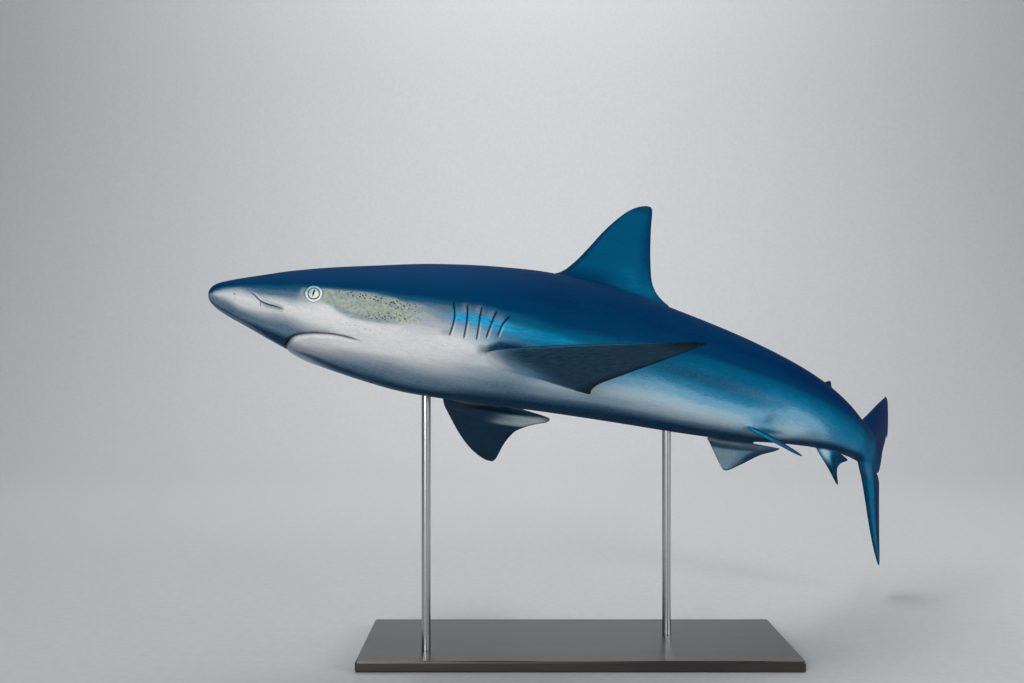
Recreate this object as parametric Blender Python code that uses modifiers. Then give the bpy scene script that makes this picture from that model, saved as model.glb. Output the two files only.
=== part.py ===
"""A Galapagos shark, 2.2 m long, as a still life-size model on a display stand.

The animal is modelled straight first, in body coordinates: how far a point lies from the snout
towards the tail, how far to the animal's left, and how far up. The spine then places every point:
it carries the swimming bend, the sag and the bank of the whole body. The world's origin is under
the middle of the stand's base, the head points to -X and the animal's left side faces -Y.
"""

import math

import bmesh
import bpy
import numpy as np

# The whole animal
BODY_LENGTH = 2.165        # snout tip to the tip of the upper tail lobe, along the spine
FIT_GAP = 0.0004           # between pieces that touch
RING_POINTS = 28           # round the body

# Where and how the head lies. Turns are in degrees.
SNOUT_PLACE = (-0.690, -0.231, 0.720)
HEAD_TURN = 17.9           # to the viewer's far side, seen from above
HEAD_LIFT = 9.0            # the snout higher than the trunk
BANK = -15.4               # the left side lifted

# (distance from the snout, sideways bend, sag), the last two in degrees for each metre
SPINE_BENDS = (
    (0.00, -6.0, 0.0),
    (0.43, -1.5, 1.0),
    (0.76, 14.0, 4.2),
    (1.09, 34.0, 1.0),
    (1.36, 88.0, 0.5),
    (1.62, 21.0, 0.3),
    (2.19, 25.0, 0.0),
)

# (distance from the snout, top, bottom, half width) down to the tail stock
TRUNK_STATIONS = (
    (0.010, 0.0160, -0.0170, 0.031),
    (0.036, 0.0266, -0.0300, 0.055),
    (0.080, 0.0415, -0.0460, 0.076),
    (0.146, 0.0630, -0.0715, 0.101),
    (0.212, 0.0807, -0.0955, 0.118),
    (0.300, 0.1005, -0.1150, 0.133),
    (0.410, 0.1235, -0.1290, 0.144),
    (0.542, 0.1420, -0.1310, 0.145),
    (0.652, 0.1500, -0.1280, 0.141),
    (0.784, 0.1460, -0.1265, 0.132),
    (0.938, 0.1285, -0.1240, 0.117),
    (1.092, 0.1105, -0.1160, 0.098),
    (1.268, 0.0870, -0.0915, 0.075),
    (1.444, 0.0625, -0.0660, 0.055),
    (1.576, 0.0480, -0.0490, 0.042),
)

# The same for the upper tail lobe, a tall thin blade that the tail stock runs into
TAIL_STATIONS = (
    (1.640, 0.0520, -0.0440, 0.033),
    (1.720, 0.0930, -0.0420, 0.024),
    (1.800, 0.1350, -0.0340, 0.017),
    (1.860, 0.1640, -0.0180, 0.013),
    (1.900, 0.1820, 0.0250, 0.011),
    (1.960, 0.2070, 0.0720, 0.009),
    (2.030, 0.2350, 0.1180, 0.007),
    (2.062, 0.2470, 0.1480, 0.006),
    (2.085, 0.2560, 0.1330, 0.005),
    (2.125, 0.2680, 0.1780, 0.004),
    (2.155, 0.2740, 0.2420, 0.003),
)

# Where the body is parted into nodes
BODY_PARTS = (
    ("head", 0.0, 0.405, 17),
    ("gill_region", 0.405, 0.560, 6),
    ("trunk_front", 0.560, 0.960, 8),
    ("trunk_rear", 0.960, 1.300, 8),
    ("tail_stock", 1.300, 1.620, 9),
    ("caudal_upper_lobe", 1.620, BODY_LENGTH, 15),
)

EYE_PLACE = (0.179, 0.0985, -0.003)
EYE_RADIUS = 0.0170

# The edge of the lower jaw, seen from the side, from the chin's front round to its back
JAW_OUTLINE = (
    (0.158, -0.150),
    (0.159, -0.078),
    (0.165, -0.0715),
    (0.180, -0.0690),
    (0.225, -0.0690),
    (0.262, -0.0730),
    (0.286, -0.0820),
    (0.298, -0.0960),
    (0.300, -0.150),
)

# The upper end, the middle and the lower end of each slit: (distance from the snout, height)
GILL_SLITS = (
    ((0.4290, 0.0130), (0.4350, -0.0190), (0.4315, -0.0520)),
    ((0.4555, 0.0140), (0.4590, -0.0190), (0.4590, -0.0520)),
    ((0.4850, 0.0115), (0.4825, -0.0190), (0.4830, -0.0500)),
    ((0.5105, 0.0080), (0.5060, -0.0180), (0.5010, -0.0445)),
    ((0.5385, 0.0030), (0.5275, -0.0165), (0.5210, -0.0380)),
)
GILL_SLIT_WIDTH = 0.0016
GILL_SLIT_DEPTH = 0.005

NOSTRIL_PLACE = (0.068, 0.0600, -0.026)
NOSTRIL_SIZE = (0.010, 0.004, 0.0025)

# Fins: where the fore end of the root lies, how the root line runs (turned to the left, dipping
# towards the tail), how far the blade itself hangs below level, how far its tip flexes up and how
# many degrees its leading edge twists down at the tip.
# Then, for heights out from the root line: the leading edge, the trailing edge and the thickness.
PAIRED_ROOTS = (
    ("pectoral_fin_left", 1, (0.501, 0.1275, -0.070), (-10.0, 10.5, 5.0), 0.030, 14.0),
    ("pectoral_fin_right", -1, (0.490, 0.1275, -0.096), (-10.4, 5.0, 2.0), 0.0, 0.0),
    ("pelvic_fin_left", 1, (1.078, 0.0420, -0.0865), (-2.0, 10.5, 30.0), 0.0, 0.0),
    ("pelvic_fin_right", -1, (1.069, 0.0480, -0.1120), (-14.0, -2.0, 23.0), 0.0, 0.0),
)
PECTORAL_LEFT_STATIONS = (
    (-0.050, 0.0060, 0.1180, 0.0340),
    (0.000, 0.0000, 0.1260, 0.0270),
    (0.004, 0.0003, 0.1700, 0.0258),
    (0.010, 0.0008, 0.2130, 0.0246),
    (0.016, 0.0015, 0.2230, 0.0236),
    (0.048, 0.0056, 0.2085, 0.0200),
    (0.099, 0.0175, 0.1940, 0.0165),
    (0.165, 0.0350, 0.1865, 0.0135),
    (0.264, 0.0650, 0.1795, 0.0100),
    (0.363, 0.1060, 0.1757, 0.0072),
    (0.405, 0.1310, 0.1745, 0.0055),
    (0.428, 0.1500, 0.1735, 0.0040),
    (0.438, 0.1620, 0.1715, 0.0025),
)
# The free rear tip of the right fin is spread wider
PECTORAL_RIGHT_STATIONS = (
    (-0.050, 0.0060, 0.1180, 0.0340),
    (0.000, 0.0000, 0.1260, 0.0270),
    (0.004, 0.0003, 0.1700, 0.0258),
    (0.010, 0.0008, 0.2190, 0.0246),
    (0.018, 0.0015, 0.2305, 0.0236),
    (0.030, 0.0030, 0.2330, 0.0220),
    (0.048, 0.0056, 0.2300, 0.0200),
    (0.070, 0.0100, 0.2150, 0.0182),
    (0.099, 0.0175, 0.1990, 0.0165),
    (0.165, 0.0350, 0.1775, 0.0135),
    (0.264, 0.0640, 0.1720, 0.0100),
    (0.363, 0.1035, 0.1750, 0.0072),
    (0.405, 0.1290, 0.1765, 0.0055),
    (0.428, 0.1490, 0.1745, 0.0040),
    (0.438, 0.1620, 0.1715, 0.0025),
)
PELVIC_STATIONS = (
    (-0.035, 0.0040, 0.1080, 0.0160),
    (0.000, 0.0045, 0.1150, 0.0120),
    (0.003, 0.0080, 0.1830, 0.0105),
    (0.010, 0.0135, 0.1795, 0.0100),
    (0.035, 0.0325, 0.1515, 0.0085),
    (0.073, 0.0625, 0.1285, 0.0060),
    (0.098, 0.0850, 0.1115, 0.0045),
    (0.107, 0.0950, 0.1035, 0.0030),
)

# Fins on the midline: the height above the spine, the leading edge, the trailing edge and the
# thickness, all as distances from the snout
FIRST_DORSAL_STATIONS = (
    (0.095, 0.6300, 0.8800, 0.0340),
    (0.134, 0.6350, 0.8860, 0.0265),
    (0.1375, 0.6360, 0.9360, 0.0258),
    (0.142, 0.6375, 0.9345, 0.0250),
    (0.150, 0.6440, 0.9210, 0.0235),
    (0.158, 0.6630, 0.9100, 0.0215),
    (0.167, 0.6830, 0.9010, 0.0200),
    (0.190, 0.7080, 0.8895, 0.0170),
    (0.230, 0.7390, 0.8842, 0.0140),
    (0.275, 0.7705, 0.8815, 0.0110),
    (0.315, 0.8035, 0.8810, 0.0085),
    (0.340, 0.8290, 0.8820, 0.0065),
    (0.354, 0.8510, 0.8815, 0.0045),
    (0.360, 0.8670, 0.8780, 0.0030),
)
SECOND_DORSAL_STATIONS = (
    (0.040, 1.352, 1.440, 0.0120),
    (0.0610, 1.353, 1.452, 0.0095),
    (0.0635, 1.354, 1.514, 0.0090),
    (0.0690, 1.362, 1.496, 0.0085),
    (0.0775, 1.384, 1.450, 0.0070),
    (0.0875, 1.408, 1.441, 0.0050),
    (0.0970, 1.430, 1.4385, 0.0028),
)
ANAL_STATIONS = (
    (0.045, 1.350, 1.470, 0.0150),
    (0.0625, 1.352, 1.480, 0.0120),
    (0.0650, 1.353, 1.542, 0.0115),
    (0.0720, 1.3580, 1.5275, 0.0110),
    (0.0850, 1.3765, 1.4935, 0.0100),
    (0.0950, 1.3930, 1.4785, 0.0090),
    (0.1050, 1.4110, 1.4695, 0.0080),
    (0.1150, 1.4285, 1.4690, 0.0067),
    (0.1250, 1.4440, 1.4705, 0.0055),
    (0.1350, 1.4600, 1.4740, 0.0040),
    (0.1400, 1.4680, 1.4740, 0.0025),
)
LOWER_LOBE_STATIONS = (
    (0.020, 1.6260, 1.8000, 0.0240),
    (0.047, 1.6340, 1.8610, 0.0220),
    (0.060, 1.6475, 1.8590, 0.0206),
    (0.075, 1.6615, 1.8560, 0.0190),
    (0.120, 1.6890, 1.8480, 0.0150),
    (0.170, 1.7170, 1.8415, 0.0115),
    (0.215, 1.7500, 1.8375, 0.0085),
    (0.235, 1.7720, 1.8355, 0.0070),
    (0.250, 1.7910, 1.8330, 0.0055),
    (0.260, 1.8070, 1.8290, 0.0040),
    (0.2655, 1.8180, 1.8240, 0.0030),
)
FIN_SIDE_POINTS = 7
FIN_EDGE = 0.0012          # thickness left at the trailing edge
FIN_THICKEST = 0.28        # share of the way from the leading edge

# Stand
BASE_SIZE = (0.86, 0.33, 0.022)
BASE_EDGE = 0.004
ROD_RADIUS = 0.009
ROD_PLACES = (("stand_rod_front", -0.300, -0.083), ("stand_rod_rear", 0.190, 0.033))
ROD_TOP = 0.62


def smooth_curve(knots, values):
    """A curve through the given values that never swings past them (monotone cubic pieces)."""
    knots = np.asarray(knots, float)
    values = np.asarray(values, float)
    steps = np.diff(knots)
    slopes = np.diff(values) / steps
    before, after = slopes[:-1], slopes[1:]
    weight_before = 2 * steps[1:] + steps[:-1]
    weight_after = steps[1:] + 2 * steps[:-1]
    same_way = before * after > 0
    safe_before = np.where(same_way, before, 1.0)
    safe_after = np.where(same_way, after, 1.0)
    harmonic = (weight_before + weight_after) / (weight_before / safe_before + weight_after / safe_after)
    tangents = np.concatenate([slopes[:1], np.where(same_way, harmonic, 0.0), slopes[-1:]])

    def curve(where):
        piece = np.clip(np.searchsorted(knots, where, side="right") - 1, 0, len(steps) - 1)
        step = steps[piece]
        share = np.clip((where - knots[piece]) / step, 0.0, 1.0)
        rest = 1.0 - share
        return (
            values[piece] * (1 + 2 * share) * rest**2
            + tangents[piece] * step * share * rest**2
            + values[piece + 1] * (3 - 2 * share) * share**2
            - tangents[piece + 1] * step * rest * share**2
        )

    return curve


def turn_about(axis, degrees):
    """The matrix of a turn about the X, Y or Z axis."""
    cosine, sine = math.cos(math.radians(degrees)), math.sin(math.radians(degrees))
    first, second = {"X": (1, 2), "Y": (2, 0), "Z": (0, 1)}[axis]
    matrix = np.eye(3)
    matrix[first, first] = matrix[second, second] = cosine
    matrix[first, second] = -sine
    matrix[second, first] = sine
    return matrix


def make_spine():
    """Steps along the spine: distances, places and the three directions at each (tail, left, up)."""
    distance = np.linspace(0.0, BODY_LENGTH, 434)
    knots, bends, sags = zip(*SPINE_BENDS)
    bend = np.radians(smooth_curve(knots, bends)(distance))
    sag = np.radians(smooth_curve(knots, sags)(distance))

    def summed(rate):
        return np.concatenate([[0.0], np.cumsum((rate[1:] + rate[:-1]) / 2 * np.diff(distance))])

    heading, dip = summed(bend)[:, None], summed(sag)[:, None]
    head = turn_about("Z", HEAD_TURN) @ turn_about("Y", HEAD_LIFT) @ turn_about("X", BANK)
    head_tailward, head_left, head_up = head[:, 0], -head[:, 1], head[:, 2]
    level = np.cos(heading) * head_tailward - np.sin(heading) * head_left
    tailward = np.cos(dip) * level - np.sin(dip) * head_up
    places = np.stack([summed(tailward[:, axis]) for axis in range(3)], axis=1) + SNOUT_PLACE
    left = np.cross(tailward, head_up)
    left /= np.linalg.norm(left, axis=1, keepdims=True)
    return distance, places, tailward, left, np.cross(left, tailward)


SPINE = make_spine()


def bent(points):
    """Body coordinates to world ones."""
    points = np.atleast_2d(np.asarray(points, float))
    distance = SPINE[0]

    def at(values):
        return np.stack([np.interp(points[:, 0], distance, values[:, axis]) for axis in range(3)], axis=1)

    return at(SPINE[1]) + points[:, 1:2] * at(SPINE[3]) + points[:, 2:3] * at(SPINE[4])


def make_body_curves():
    """The body's top, bottom and half width as curves of the root of the distance.

    The root makes the snout's tip round.
    """
    stations = ((0.0, 0.0, 0.0, 0.0),) + TRUNK_STATIONS + TAIL_STATIONS
    distance, *outlines = zip(*stations)
    return [smooth_curve(np.sqrt(distance), outline) for outline in outlines]


BODY_TOP, BODY_BOTTOM, BODY_WIDTH = make_body_curves()
WIDEST_LEVEL = smooth_curve((0.0, 0.1, 0.5, 1.6, 1.8, 2.2), (0.50, 0.52, 0.50, 0.50, 0.36, 0.36))
BELLY_FULLNESS = smooth_curve((0.0, 0.1, 0.4, 1.0, 2.2), (2.3, 2.5, 2.2, 2.0, 2.0))
BLADE_EDGE = smooth_curve((0.0, 1.58, 1.85, 2.2), (1.0, 1.0, 1.7, 1.7))


def body_ring(distance, spare=0.0):
    """One section of the body in body coordinates, spare larger all round."""
    root = math.sqrt(distance)
    top, bottom = BODY_TOP(root) + spare, BODY_BOTTOM(root) - spare
    middle = top - (top - bottom) * WIDEST_LEVEL(distance)
    angle = np.arange(RING_POINTS) * 2 * math.pi / RING_POINTS
    sideways = np.cos(angle)
    across = BODY_WIDTH(root) * np.sign(sideways) * np.abs(sideways) ** BLADE_EDGE(distance)
    rise = np.sin(angle)
    reach = np.where(rise > 0, top - middle, middle - bottom)
    power = np.where(rise > 0, 1.0, 2.0 / BELLY_FULLNESS(distance))
    height = middle + np.sign(rise) * reach * np.abs(rise) ** power
    return np.stack([np.full(RING_POINTS, distance), across + spare * sideways, height], axis=1)


def make_collections():
    """One collection for the animal and its stand, and one for the cutters."""
    collections = []
    for name in ("galapagos_shark", "cutters"):
        collection = bpy.data.collections.new(name)
        bpy.context.scene.collection.children.link(collection)
        collections.append(collection)
    return collections


def make_material(name, colour, roughness, metallic=0.0):
    material = bpy.data.materials.new(name)
    material.use_nodes = True
    shader = material.node_tree.nodes["Principled BSDF"]
    shader.inputs["Base Color"].default_value = (*colour, 1.0)
    shader.inputs["Roughness"].default_value = roughness
    shader.inputs["Metallic"].default_value = metallic
    return material


def add_object(name, mesh, collection, material=None):
    model = bpy.data.objects.new(name, mesh)
    collection.objects.link(model)
    if material is not None:
        mesh.materials.append(material)
    return model


def hide_cutter(cutter):
    cutter.hide_render = True
    cutter.display_type = "WIRE"


def add_loft(name, rings, collection, material=None, nose=None):
    """A closed skin over rings of points in body coordinates, bent along the spine.

    The rings run from the front to the back, or from the root to the tip. A nose is the point
    in front of the first ring; without one a flat cap closes it.
    """
    mesh_builder = bmesh.new()
    loops = [[mesh_builder.verts.new(point) for point in bent(ring)] for ring in rings]
    for first, second in zip(loops[:-1], loops[1:]):
        for index in range(len(first)):
            following = (index + 1) % len(first)
            mesh_builder.faces.new((first[index], first[following], second[following]))
            mesh_builder.faces.new((first[index], second[following], second[index]))
    if nose is None:
        mesh_builder.faces.new(reversed(loops[0]))
    else:
        tip = mesh_builder.verts.new(bent(nose)[0])
        for index in range(len(loops[0])):
            mesh_builder.faces.new((tip, loops[0][(index + 1) % len(loops[0])], loops[0][index]))
    mesh_builder.faces.new(loops[-1])
    bmesh.ops.recalc_face_normals(mesh_builder, faces=mesh_builder.faces)
    mesh = bpy.data.meshes.new(name)
    mesh_builder.to_mesh(mesh)
    mesh_builder.free()
    return add_object(name, mesh, collection, material)


def cut(model, cutter, operation="DIFFERENCE"):
    boolean = model.modifiers.new(cutter.name, "BOOLEAN")
    boolean.object = cutter
    boolean.operation = operation
    boolean.solver = "EXACT"


def spaced(start, end, count):
    """Distances from start to end that lie closer together towards the snout."""
    return np.linspace(math.sqrt(start), math.sqrt(end), count) ** 2


def build_body(parts, cutters, materials):
    """The body's lengths, from the head to the upper tail lobe, and one cutter of their shape."""
    pieces = {}
    for name, start, end, count in BODY_PARTS:
        is_head = start == 0.0
        front = 0.0012 if is_head else start + FIT_GAP / 2
        back = end - FIT_GAP / 2
        rings = [body_ring(distance) for distance in spaced(front, back, count)]
        pieces[name] = add_loft(name, rings, parts, materials[name], (0, 0, 0) if is_head else None)
    lengths = [spaced(max(start, 0.0012), end, count)[:-1] for _, start, end, count in BODY_PARTS]
    rings = [body_ring(distance, FIT_GAP) for distance in (*np.concatenate(lengths), BODY_LENGTH)]
    clearance = add_loft("body_clearance", rings, cutters)
    hide_cutter(clearance)
    return pieces, clearance


def fin_section(lead, trail, thickness):
    """A closed outline round one slice of a fin: (along the chord, out of the fin's plane)."""
    share = (1 - np.cos(np.linspace(0.0, math.pi, FIN_SIDE_POINTS))) / 2
    rising = np.sqrt(np.clip(1 - (1 - share / FIN_THICKEST) ** 2, 0.0, 1.0))
    falling = 1 - np.clip((share - FIN_THICKEST) / (1 - FIN_THICKEST), 0.0, 1.0) ** 1.6
    half = np.where(share < FIN_THICKEST, rising, falling) * (thickness - FIN_EDGE) / 2
    half[1:] += FIN_EDGE / 2
    chord = lead + (trail - lead) * share
    upper = np.stack([chord, half], axis=1)
    return np.concatenate([upper, upper[:0:-1] * (1, -1)])


def fin_rings(stations, root, chordwise, outwards, tip_lift=0.0, twist=0.0):
    """The slices of a fin set in body coordinates."""
    root, chordwise, outwards = (np.asarray(item, float) for item in (root, chordwise, outwards))
    square = np.cross(chordwise, outwards)
    span = stations[-1][0]
    rings = []
    for height, lead, trail, thickness in stations:
        section = fin_section(lead, trail, thickness)
        out = max(height, 0.0) / span
        drop = math.tan(math.radians(twist * out**3)) * (trail - section[:, :1])
        place = root + outwards * height + square * (tip_lift * out**2 - drop)
        rings.append(place + section[:, :1] * chordwise + section[:, 1:] * square)
    return rings


def paired_fin_rings(stations, side, root, turns, tip_lift, twist):
    """The slices of a pectoral or pelvic fin; the right one is built as the mirror image."""
    turn, dip, hang = np.radians(turns)
    chordwise = np.array((math.cos(dip) * math.cos(turn), math.cos(dip) * math.sin(turn), -math.sin(dip)))
    outwards = np.array((0.0, math.cos(hang), -math.sin(hang)))
    outwards -= outwards.dot(chordwise) * chordwise
    outwards /= np.linalg.norm(outwards)
    rings = fin_rings(stations, root, chordwise, outwards, tip_lift, twist)
    return [ring * (1, side, 1) for ring in rings]


def build_fins(parts, materials, clearance):
    """Each fin, cut where it meets the body."""
    outlines = {
        "pectoral_fin_left": PECTORAL_LEFT_STATIONS,
        "pectoral_fin_right": PECTORAL_RIGHT_STATIONS,
        "pelvic_fin_left": PELVIC_STATIONS,
        "pelvic_fin_right": PELVIC_STATIONS,
    }
    fins = {}
    for name, side, root, turns, tip_lift, twist in PAIRED_ROOTS:
        fins[name] = paired_fin_rings(outlines[name], side, root, turns, tip_lift, twist)
    midline = (
        ("first_dorsal_fin", FIRST_DORSAL_STATIONS, 1),
        ("second_dorsal_fin", SECOND_DORSAL_STATIONS, 1),
        ("anal_fin", ANAL_STATIONS, -1),
        ("caudal_lower_lobe", LOWER_LOBE_STATIONS, -1),
    )
    for name, stations, upwards in midline:
        fins[name] = fin_rings(stations, (0, 0, 0), (1, 0, 0), (0, 0, upwards))
    for name, rings in fins.items():
        fin = add_loft(name, rings, parts, materials[name])
        cut(fin, clearance)


def jaw_prism(name, grow, collection):
    """The block that holds the lower jaw, as wide as the head, grown all round its side outline."""
    outline = np.array(JAW_OUTLINE)
    middle = np.array((0.225, -0.120))
    away = outline - middle
    outline = outline + grow * away / np.linalg.norm(away, axis=1, keepdims=True)
    rings = []
    for left in np.linspace(-0.16, 0.16, 3):
        rings.append(np.stack([outline[:, 0], np.full(len(outline), left), outline[:, 1]], axis=1))
    prism = add_loft(name, rings, collection)
    hide_cutter(prism)
    return prism


def build_jaw(parts, cutters, materials, head):
    """The lower jaw, parted from the head along the mouth's line."""
    jaw = add_object("lower_jaw", head.data.copy(), parts)
    jaw.data.materials[0] = materials["lower_jaw"]
    cut(jaw, jaw_prism("jaw_block", 0.0, cutters), "INTERSECT")
    cut(head, jaw_prism("jaw_clearance", FIT_GAP * 1.5, cutters))


def add_ball(name, radius, place, collection, segments, rings):
    bpy.ops.mesh.primitive_uv_sphere_add(segments=segments, ring_count=rings, radius=radius, location=place)
    ball = bpy.context.object
    ball.name = ball.data.name = name
    ball.users_collection[0].objects.unlink(ball)
    collection.objects.link(ball)
    return ball


def build_eyes(parts, cutters, materials, head):
    """The two eyeballs, each in a socket in the head."""
    for name, side in (("eye_left", 1), ("eye_right", -1)):
        place = bent(np.array(EYE_PLACE) * (1, side, 1))[0]
        eye = add_ball(name, EYE_RADIUS, place, parts, 16, 10)
        eye.data.materials.append(materials["eye"])
        eye.data.shade_smooth()
        socket = add_ball(name + "_socket", EYE_RADIUS + FIT_GAP, place, cutters, 16, 10)
        hide_cutter(socket)
        cut(head, socket)


def build_nostrils(cutters, head):
    """A shallow slanting pit on each side under the snout."""
    for side in (1, -1):
        place = bent(np.array(NOSTRIL_PLACE) * (1, side, 1))[0]
        pit = add_ball("nostril_pit", 1.0, place, cutters, 12, 8)
        pit.scale = NOSTRIL_SIZE
        pit.rotation_euler = (0.0, math.radians(35.0), math.radians(HEAD_TURN - 30.0 * side))
        hide_cutter(pit)
        cut(head, pit)


def build_gill_slits(cutters, gill_region):
    """Five shallow upright slits on each side, in front of the pectoral fin."""
    for side in (1, -1):
        for slit_line in GILL_SLITS:
            fronts, heights = (np.array(column) for column in zip(*slit_line))
            rings = []
            for level in np.linspace(0.0, 2.0, 5):
                front, up = (smooth_curve((0.0, 1.0, 2.0), column)(level) for column in (fronts, heights))
                skin = body_half_width(front, up)
                square = np.array(((-0.5, -1), (0.5, -1), (0.5, 1), (-0.5, 1)))
                wide = front + square[:, 0] * GILL_SLIT_WIDTH
                deep = skin + square[:, 1] * GILL_SLIT_DEPTH
                rings.append(np.stack([wide, side * deep, np.full(4, up)], axis=1))
            slit = add_loft("gill_slit", rings, cutters)
            hide_cutter(slit)
            cut(gill_region, slit)


def body_half_width(distance, up):
    """How far to the side the skin lies at this distance and height."""
    root = math.sqrt(distance)
    top, bottom = BODY_TOP(root), BODY_BOTTOM(root)
    middle = top - (top - bottom) * WIDEST_LEVEL(distance)
    if up > middle:
        rise = (up - middle) / (top - middle)
    else:
        rise = ((middle - up) / (middle - bottom)) ** (BELLY_FULLNESS(distance) / 2)
    return BODY_WIDTH(root) * math.sqrt(max(0.0, 1 - rise**2))


def build_stand(parts, materials, clearance):
    """A flat base with softened edges and two rods up to the belly."""
    bpy.ops.mesh.primitive_cube_add(size=1.0, location=(0.0, 0.0, BASE_SIZE[2] / 2))
    base = bpy.context.object
    base.name = base.data.name = "stand_base"
    base.scale = BASE_SIZE
    bpy.ops.object.transform_apply(location=False, rotation=False, scale=True)
    bevel = base.modifiers.new("soft_edges", "BEVEL")
    bevel.width = BASE_EDGE
    bevel.segments = 2
    base.users_collection[0].objects.unlink(base)
    parts.objects.link(base)
    base.data.materials.append(materials["stand_base"])
    for name, right, back in ROD_PLACES:
        foot = BASE_SIZE[2] + FIT_GAP
        bpy.ops.mesh.primitive_cylinder_add(
            vertices=20, radius=ROD_RADIUS, depth=ROD_TOP - foot, location=(right, back, (ROD_TOP + foot) / 2)
        )
        rod = bpy.context.object
        rod.name = rod.data.name = name
        rod.users_collection[0].objects.unlink(rod)
        parts.objects.link(rod)
        rod.data.materials.append(materials["stand_rod"])
        rod.data.shade_smooth()
        rod.data.set_sharp_from_angle(angle=math.radians(40.0))
        cut(rod, clearance)


def make_materials():
    """One material for each sub-part, named by it."""
    back, flank, belly = (0.035, 0.075, 0.105), (0.16, 0.26, 0.31), (0.55, 0.58, 0.60)
    skin = {
        "head": flank,
        "lower_jaw": belly,
        "gill_region": flank,
        "trunk_front": flank,
        "trunk_rear": flank,
        "tail_stock": flank,
        "caudal_upper_lobe": back,
        "caudal_lower_lobe": flank,
        "first_dorsal_fin": back,
        "second_dorsal_fin": back,
        "anal_fin": belly,
        "pectoral_fin_left": back,
        "pectoral_fin_right": back,
        "pelvic_fin_left": belly,
        "pelvic_fin_right": belly,
    }
    materials = {name: make_material(name + "_skin", colour, 0.42) for name, colour in skin.items()}
    materials["eye"] = make_material("eye_gloss", (0.55, 0.60, 0.55), 0.08)
    materials["stand_base"] = make_material("stand_base_paint", (0.03, 0.03, 0.032), 0.45)
    materials["stand_rod"] = make_material("stand_rod_steel", (0.62, 0.62, 0.63), 0.28, 1.0)
    return materials


def build_model():
    for leftover in list(bpy.data.objects):
        bpy.data.objects.remove(leftover)
    parts, cutters = make_collections()
    materials = make_materials()
    pieces, clearance = build_body(parts, cutters, materials)
    head = pieces["head"]
    build_jaw(parts, cutters, materials, head)
    build_eyes(parts, cutters, materials, head)
    build_nostrils(cutters, head)
    build_gill_slits(cutters, pieces["gill_region"])
    build_fins(parts, materials, clearance)
    build_stand(parts, materials, clearance)


build_model()
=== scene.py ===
"""The looks of a still, life-size Galapagos shark on its display stand.

The skin is one closed piece over the whole animal. It is modelled straight first, in body
coordinates (how far from the snout, how far to the animal's left, how far up, in metres), and the
spine then lays every point where the swimming bend carries it, as the solids inside were made.
"""

import logging
import math
from collections.abc import Callable, Sequence
from dataclasses import dataclass, field
from enum import Enum
from functools import partial

import bpy
import numpy as np
from mathutils import Matrix, Vector
from mathutils.kdtree import KDTree


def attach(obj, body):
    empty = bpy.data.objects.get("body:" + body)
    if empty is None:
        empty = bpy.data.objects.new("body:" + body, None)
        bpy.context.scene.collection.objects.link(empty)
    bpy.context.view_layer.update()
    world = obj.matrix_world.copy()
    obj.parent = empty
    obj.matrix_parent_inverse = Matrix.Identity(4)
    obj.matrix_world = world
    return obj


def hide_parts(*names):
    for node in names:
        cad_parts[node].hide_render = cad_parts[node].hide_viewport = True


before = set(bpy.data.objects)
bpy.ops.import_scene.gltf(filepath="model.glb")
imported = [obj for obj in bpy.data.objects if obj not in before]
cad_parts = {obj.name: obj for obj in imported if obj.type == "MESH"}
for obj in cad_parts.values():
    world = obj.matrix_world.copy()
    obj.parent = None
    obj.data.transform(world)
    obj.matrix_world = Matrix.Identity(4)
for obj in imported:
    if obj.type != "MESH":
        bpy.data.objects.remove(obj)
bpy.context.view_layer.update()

LOG = logging.getLogger("shark")

MM = 0.001
TINY = 1e-12
Array = np.ndarray
Curve = Callable[[Array], Array]
Marks = dict[str, Array]
Piece = bpy.types.Object
Material = bpy.types.Material
Tree = bpy.types.NodeTree
Node = bpy.types.Node
Pair = tuple[float, float]
Triple = tuple[float, float, float]
Table = tuple[tuple[float, ...], ...]
Stops = tuple[tuple[float, str], ...]


# --- Curves and directions ---


def smooth_curve(knots: Sequence[float], values: Sequence[float]) -> Curve:
    """Draws a curve through given values that never swings past them.

    Args:
        knots: where the values hold, rising.
        values: the values there.

    Returns:
        A function that gives the curve's value at any place.
    """
    knots = np.asarray(knots, float)
    values = np.asarray(values, float)
    steps = np.diff(knots)
    slopes = np.diff(values) / steps
    before, after = slopes[:-1], slopes[1:]
    weight_before = 2 * steps[1:] + steps[:-1]
    weight_after = steps[1:] + 2 * steps[:-1]
    same_way = before * after > 0
    safe_before = np.where(same_way, before, 1.0)
    safe_after = np.where(same_way, after, 1.0)
    harmonic = (weight_before + weight_after) / (weight_before / safe_before + weight_after / safe_after)
    tangents = np.concatenate([slopes[:1], np.where(same_way, harmonic, 0.0), slopes[-1:]])

    def curve(where: Array) -> Array:
        """Gives the curve's value at each place.

        Args:
            where: the places.

        Returns:
            The values.
        """
        piece = np.clip(np.searchsorted(knots, where, side="right") - 1, 0, len(steps) - 1)
        step = steps[piece]
        share = np.clip((where - knots[piece]) / step, 0.0, 1.0)
        rest = 1.0 - share
        return (
            values[piece] * (1 + 2 * share) * rest**2
            + tangents[piece] * step * share * rest**2
            + values[piece + 1] * (3 - 2 * share) * share**2
            - tangents[piece + 1] * step * rest * share**2
        )

    return curve


def eased(values: Array, start: float, end: float) -> Array:
    """Gives a soft step: 0 up to start, 1 from end on."""
    share = np.clip((values - start) / (end - start), 0.0, 1.0)
    return share * share * (3 - 2 * share)


def hump(values: Array, middle: float, spread: float) -> Array:
    """Gives a soft bump that is 1 at the middle."""
    return np.exp(-(((values - middle) / spread) ** 2))


def unit(vectors: Array) -> Array:
    """Gives the vectors a length of 1."""
    lengths = np.linalg.norm(vectors, axis=-1, keepdims=True)
    return vectors / np.maximum(lengths, TINY)


# --- The animal's form ---


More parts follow.
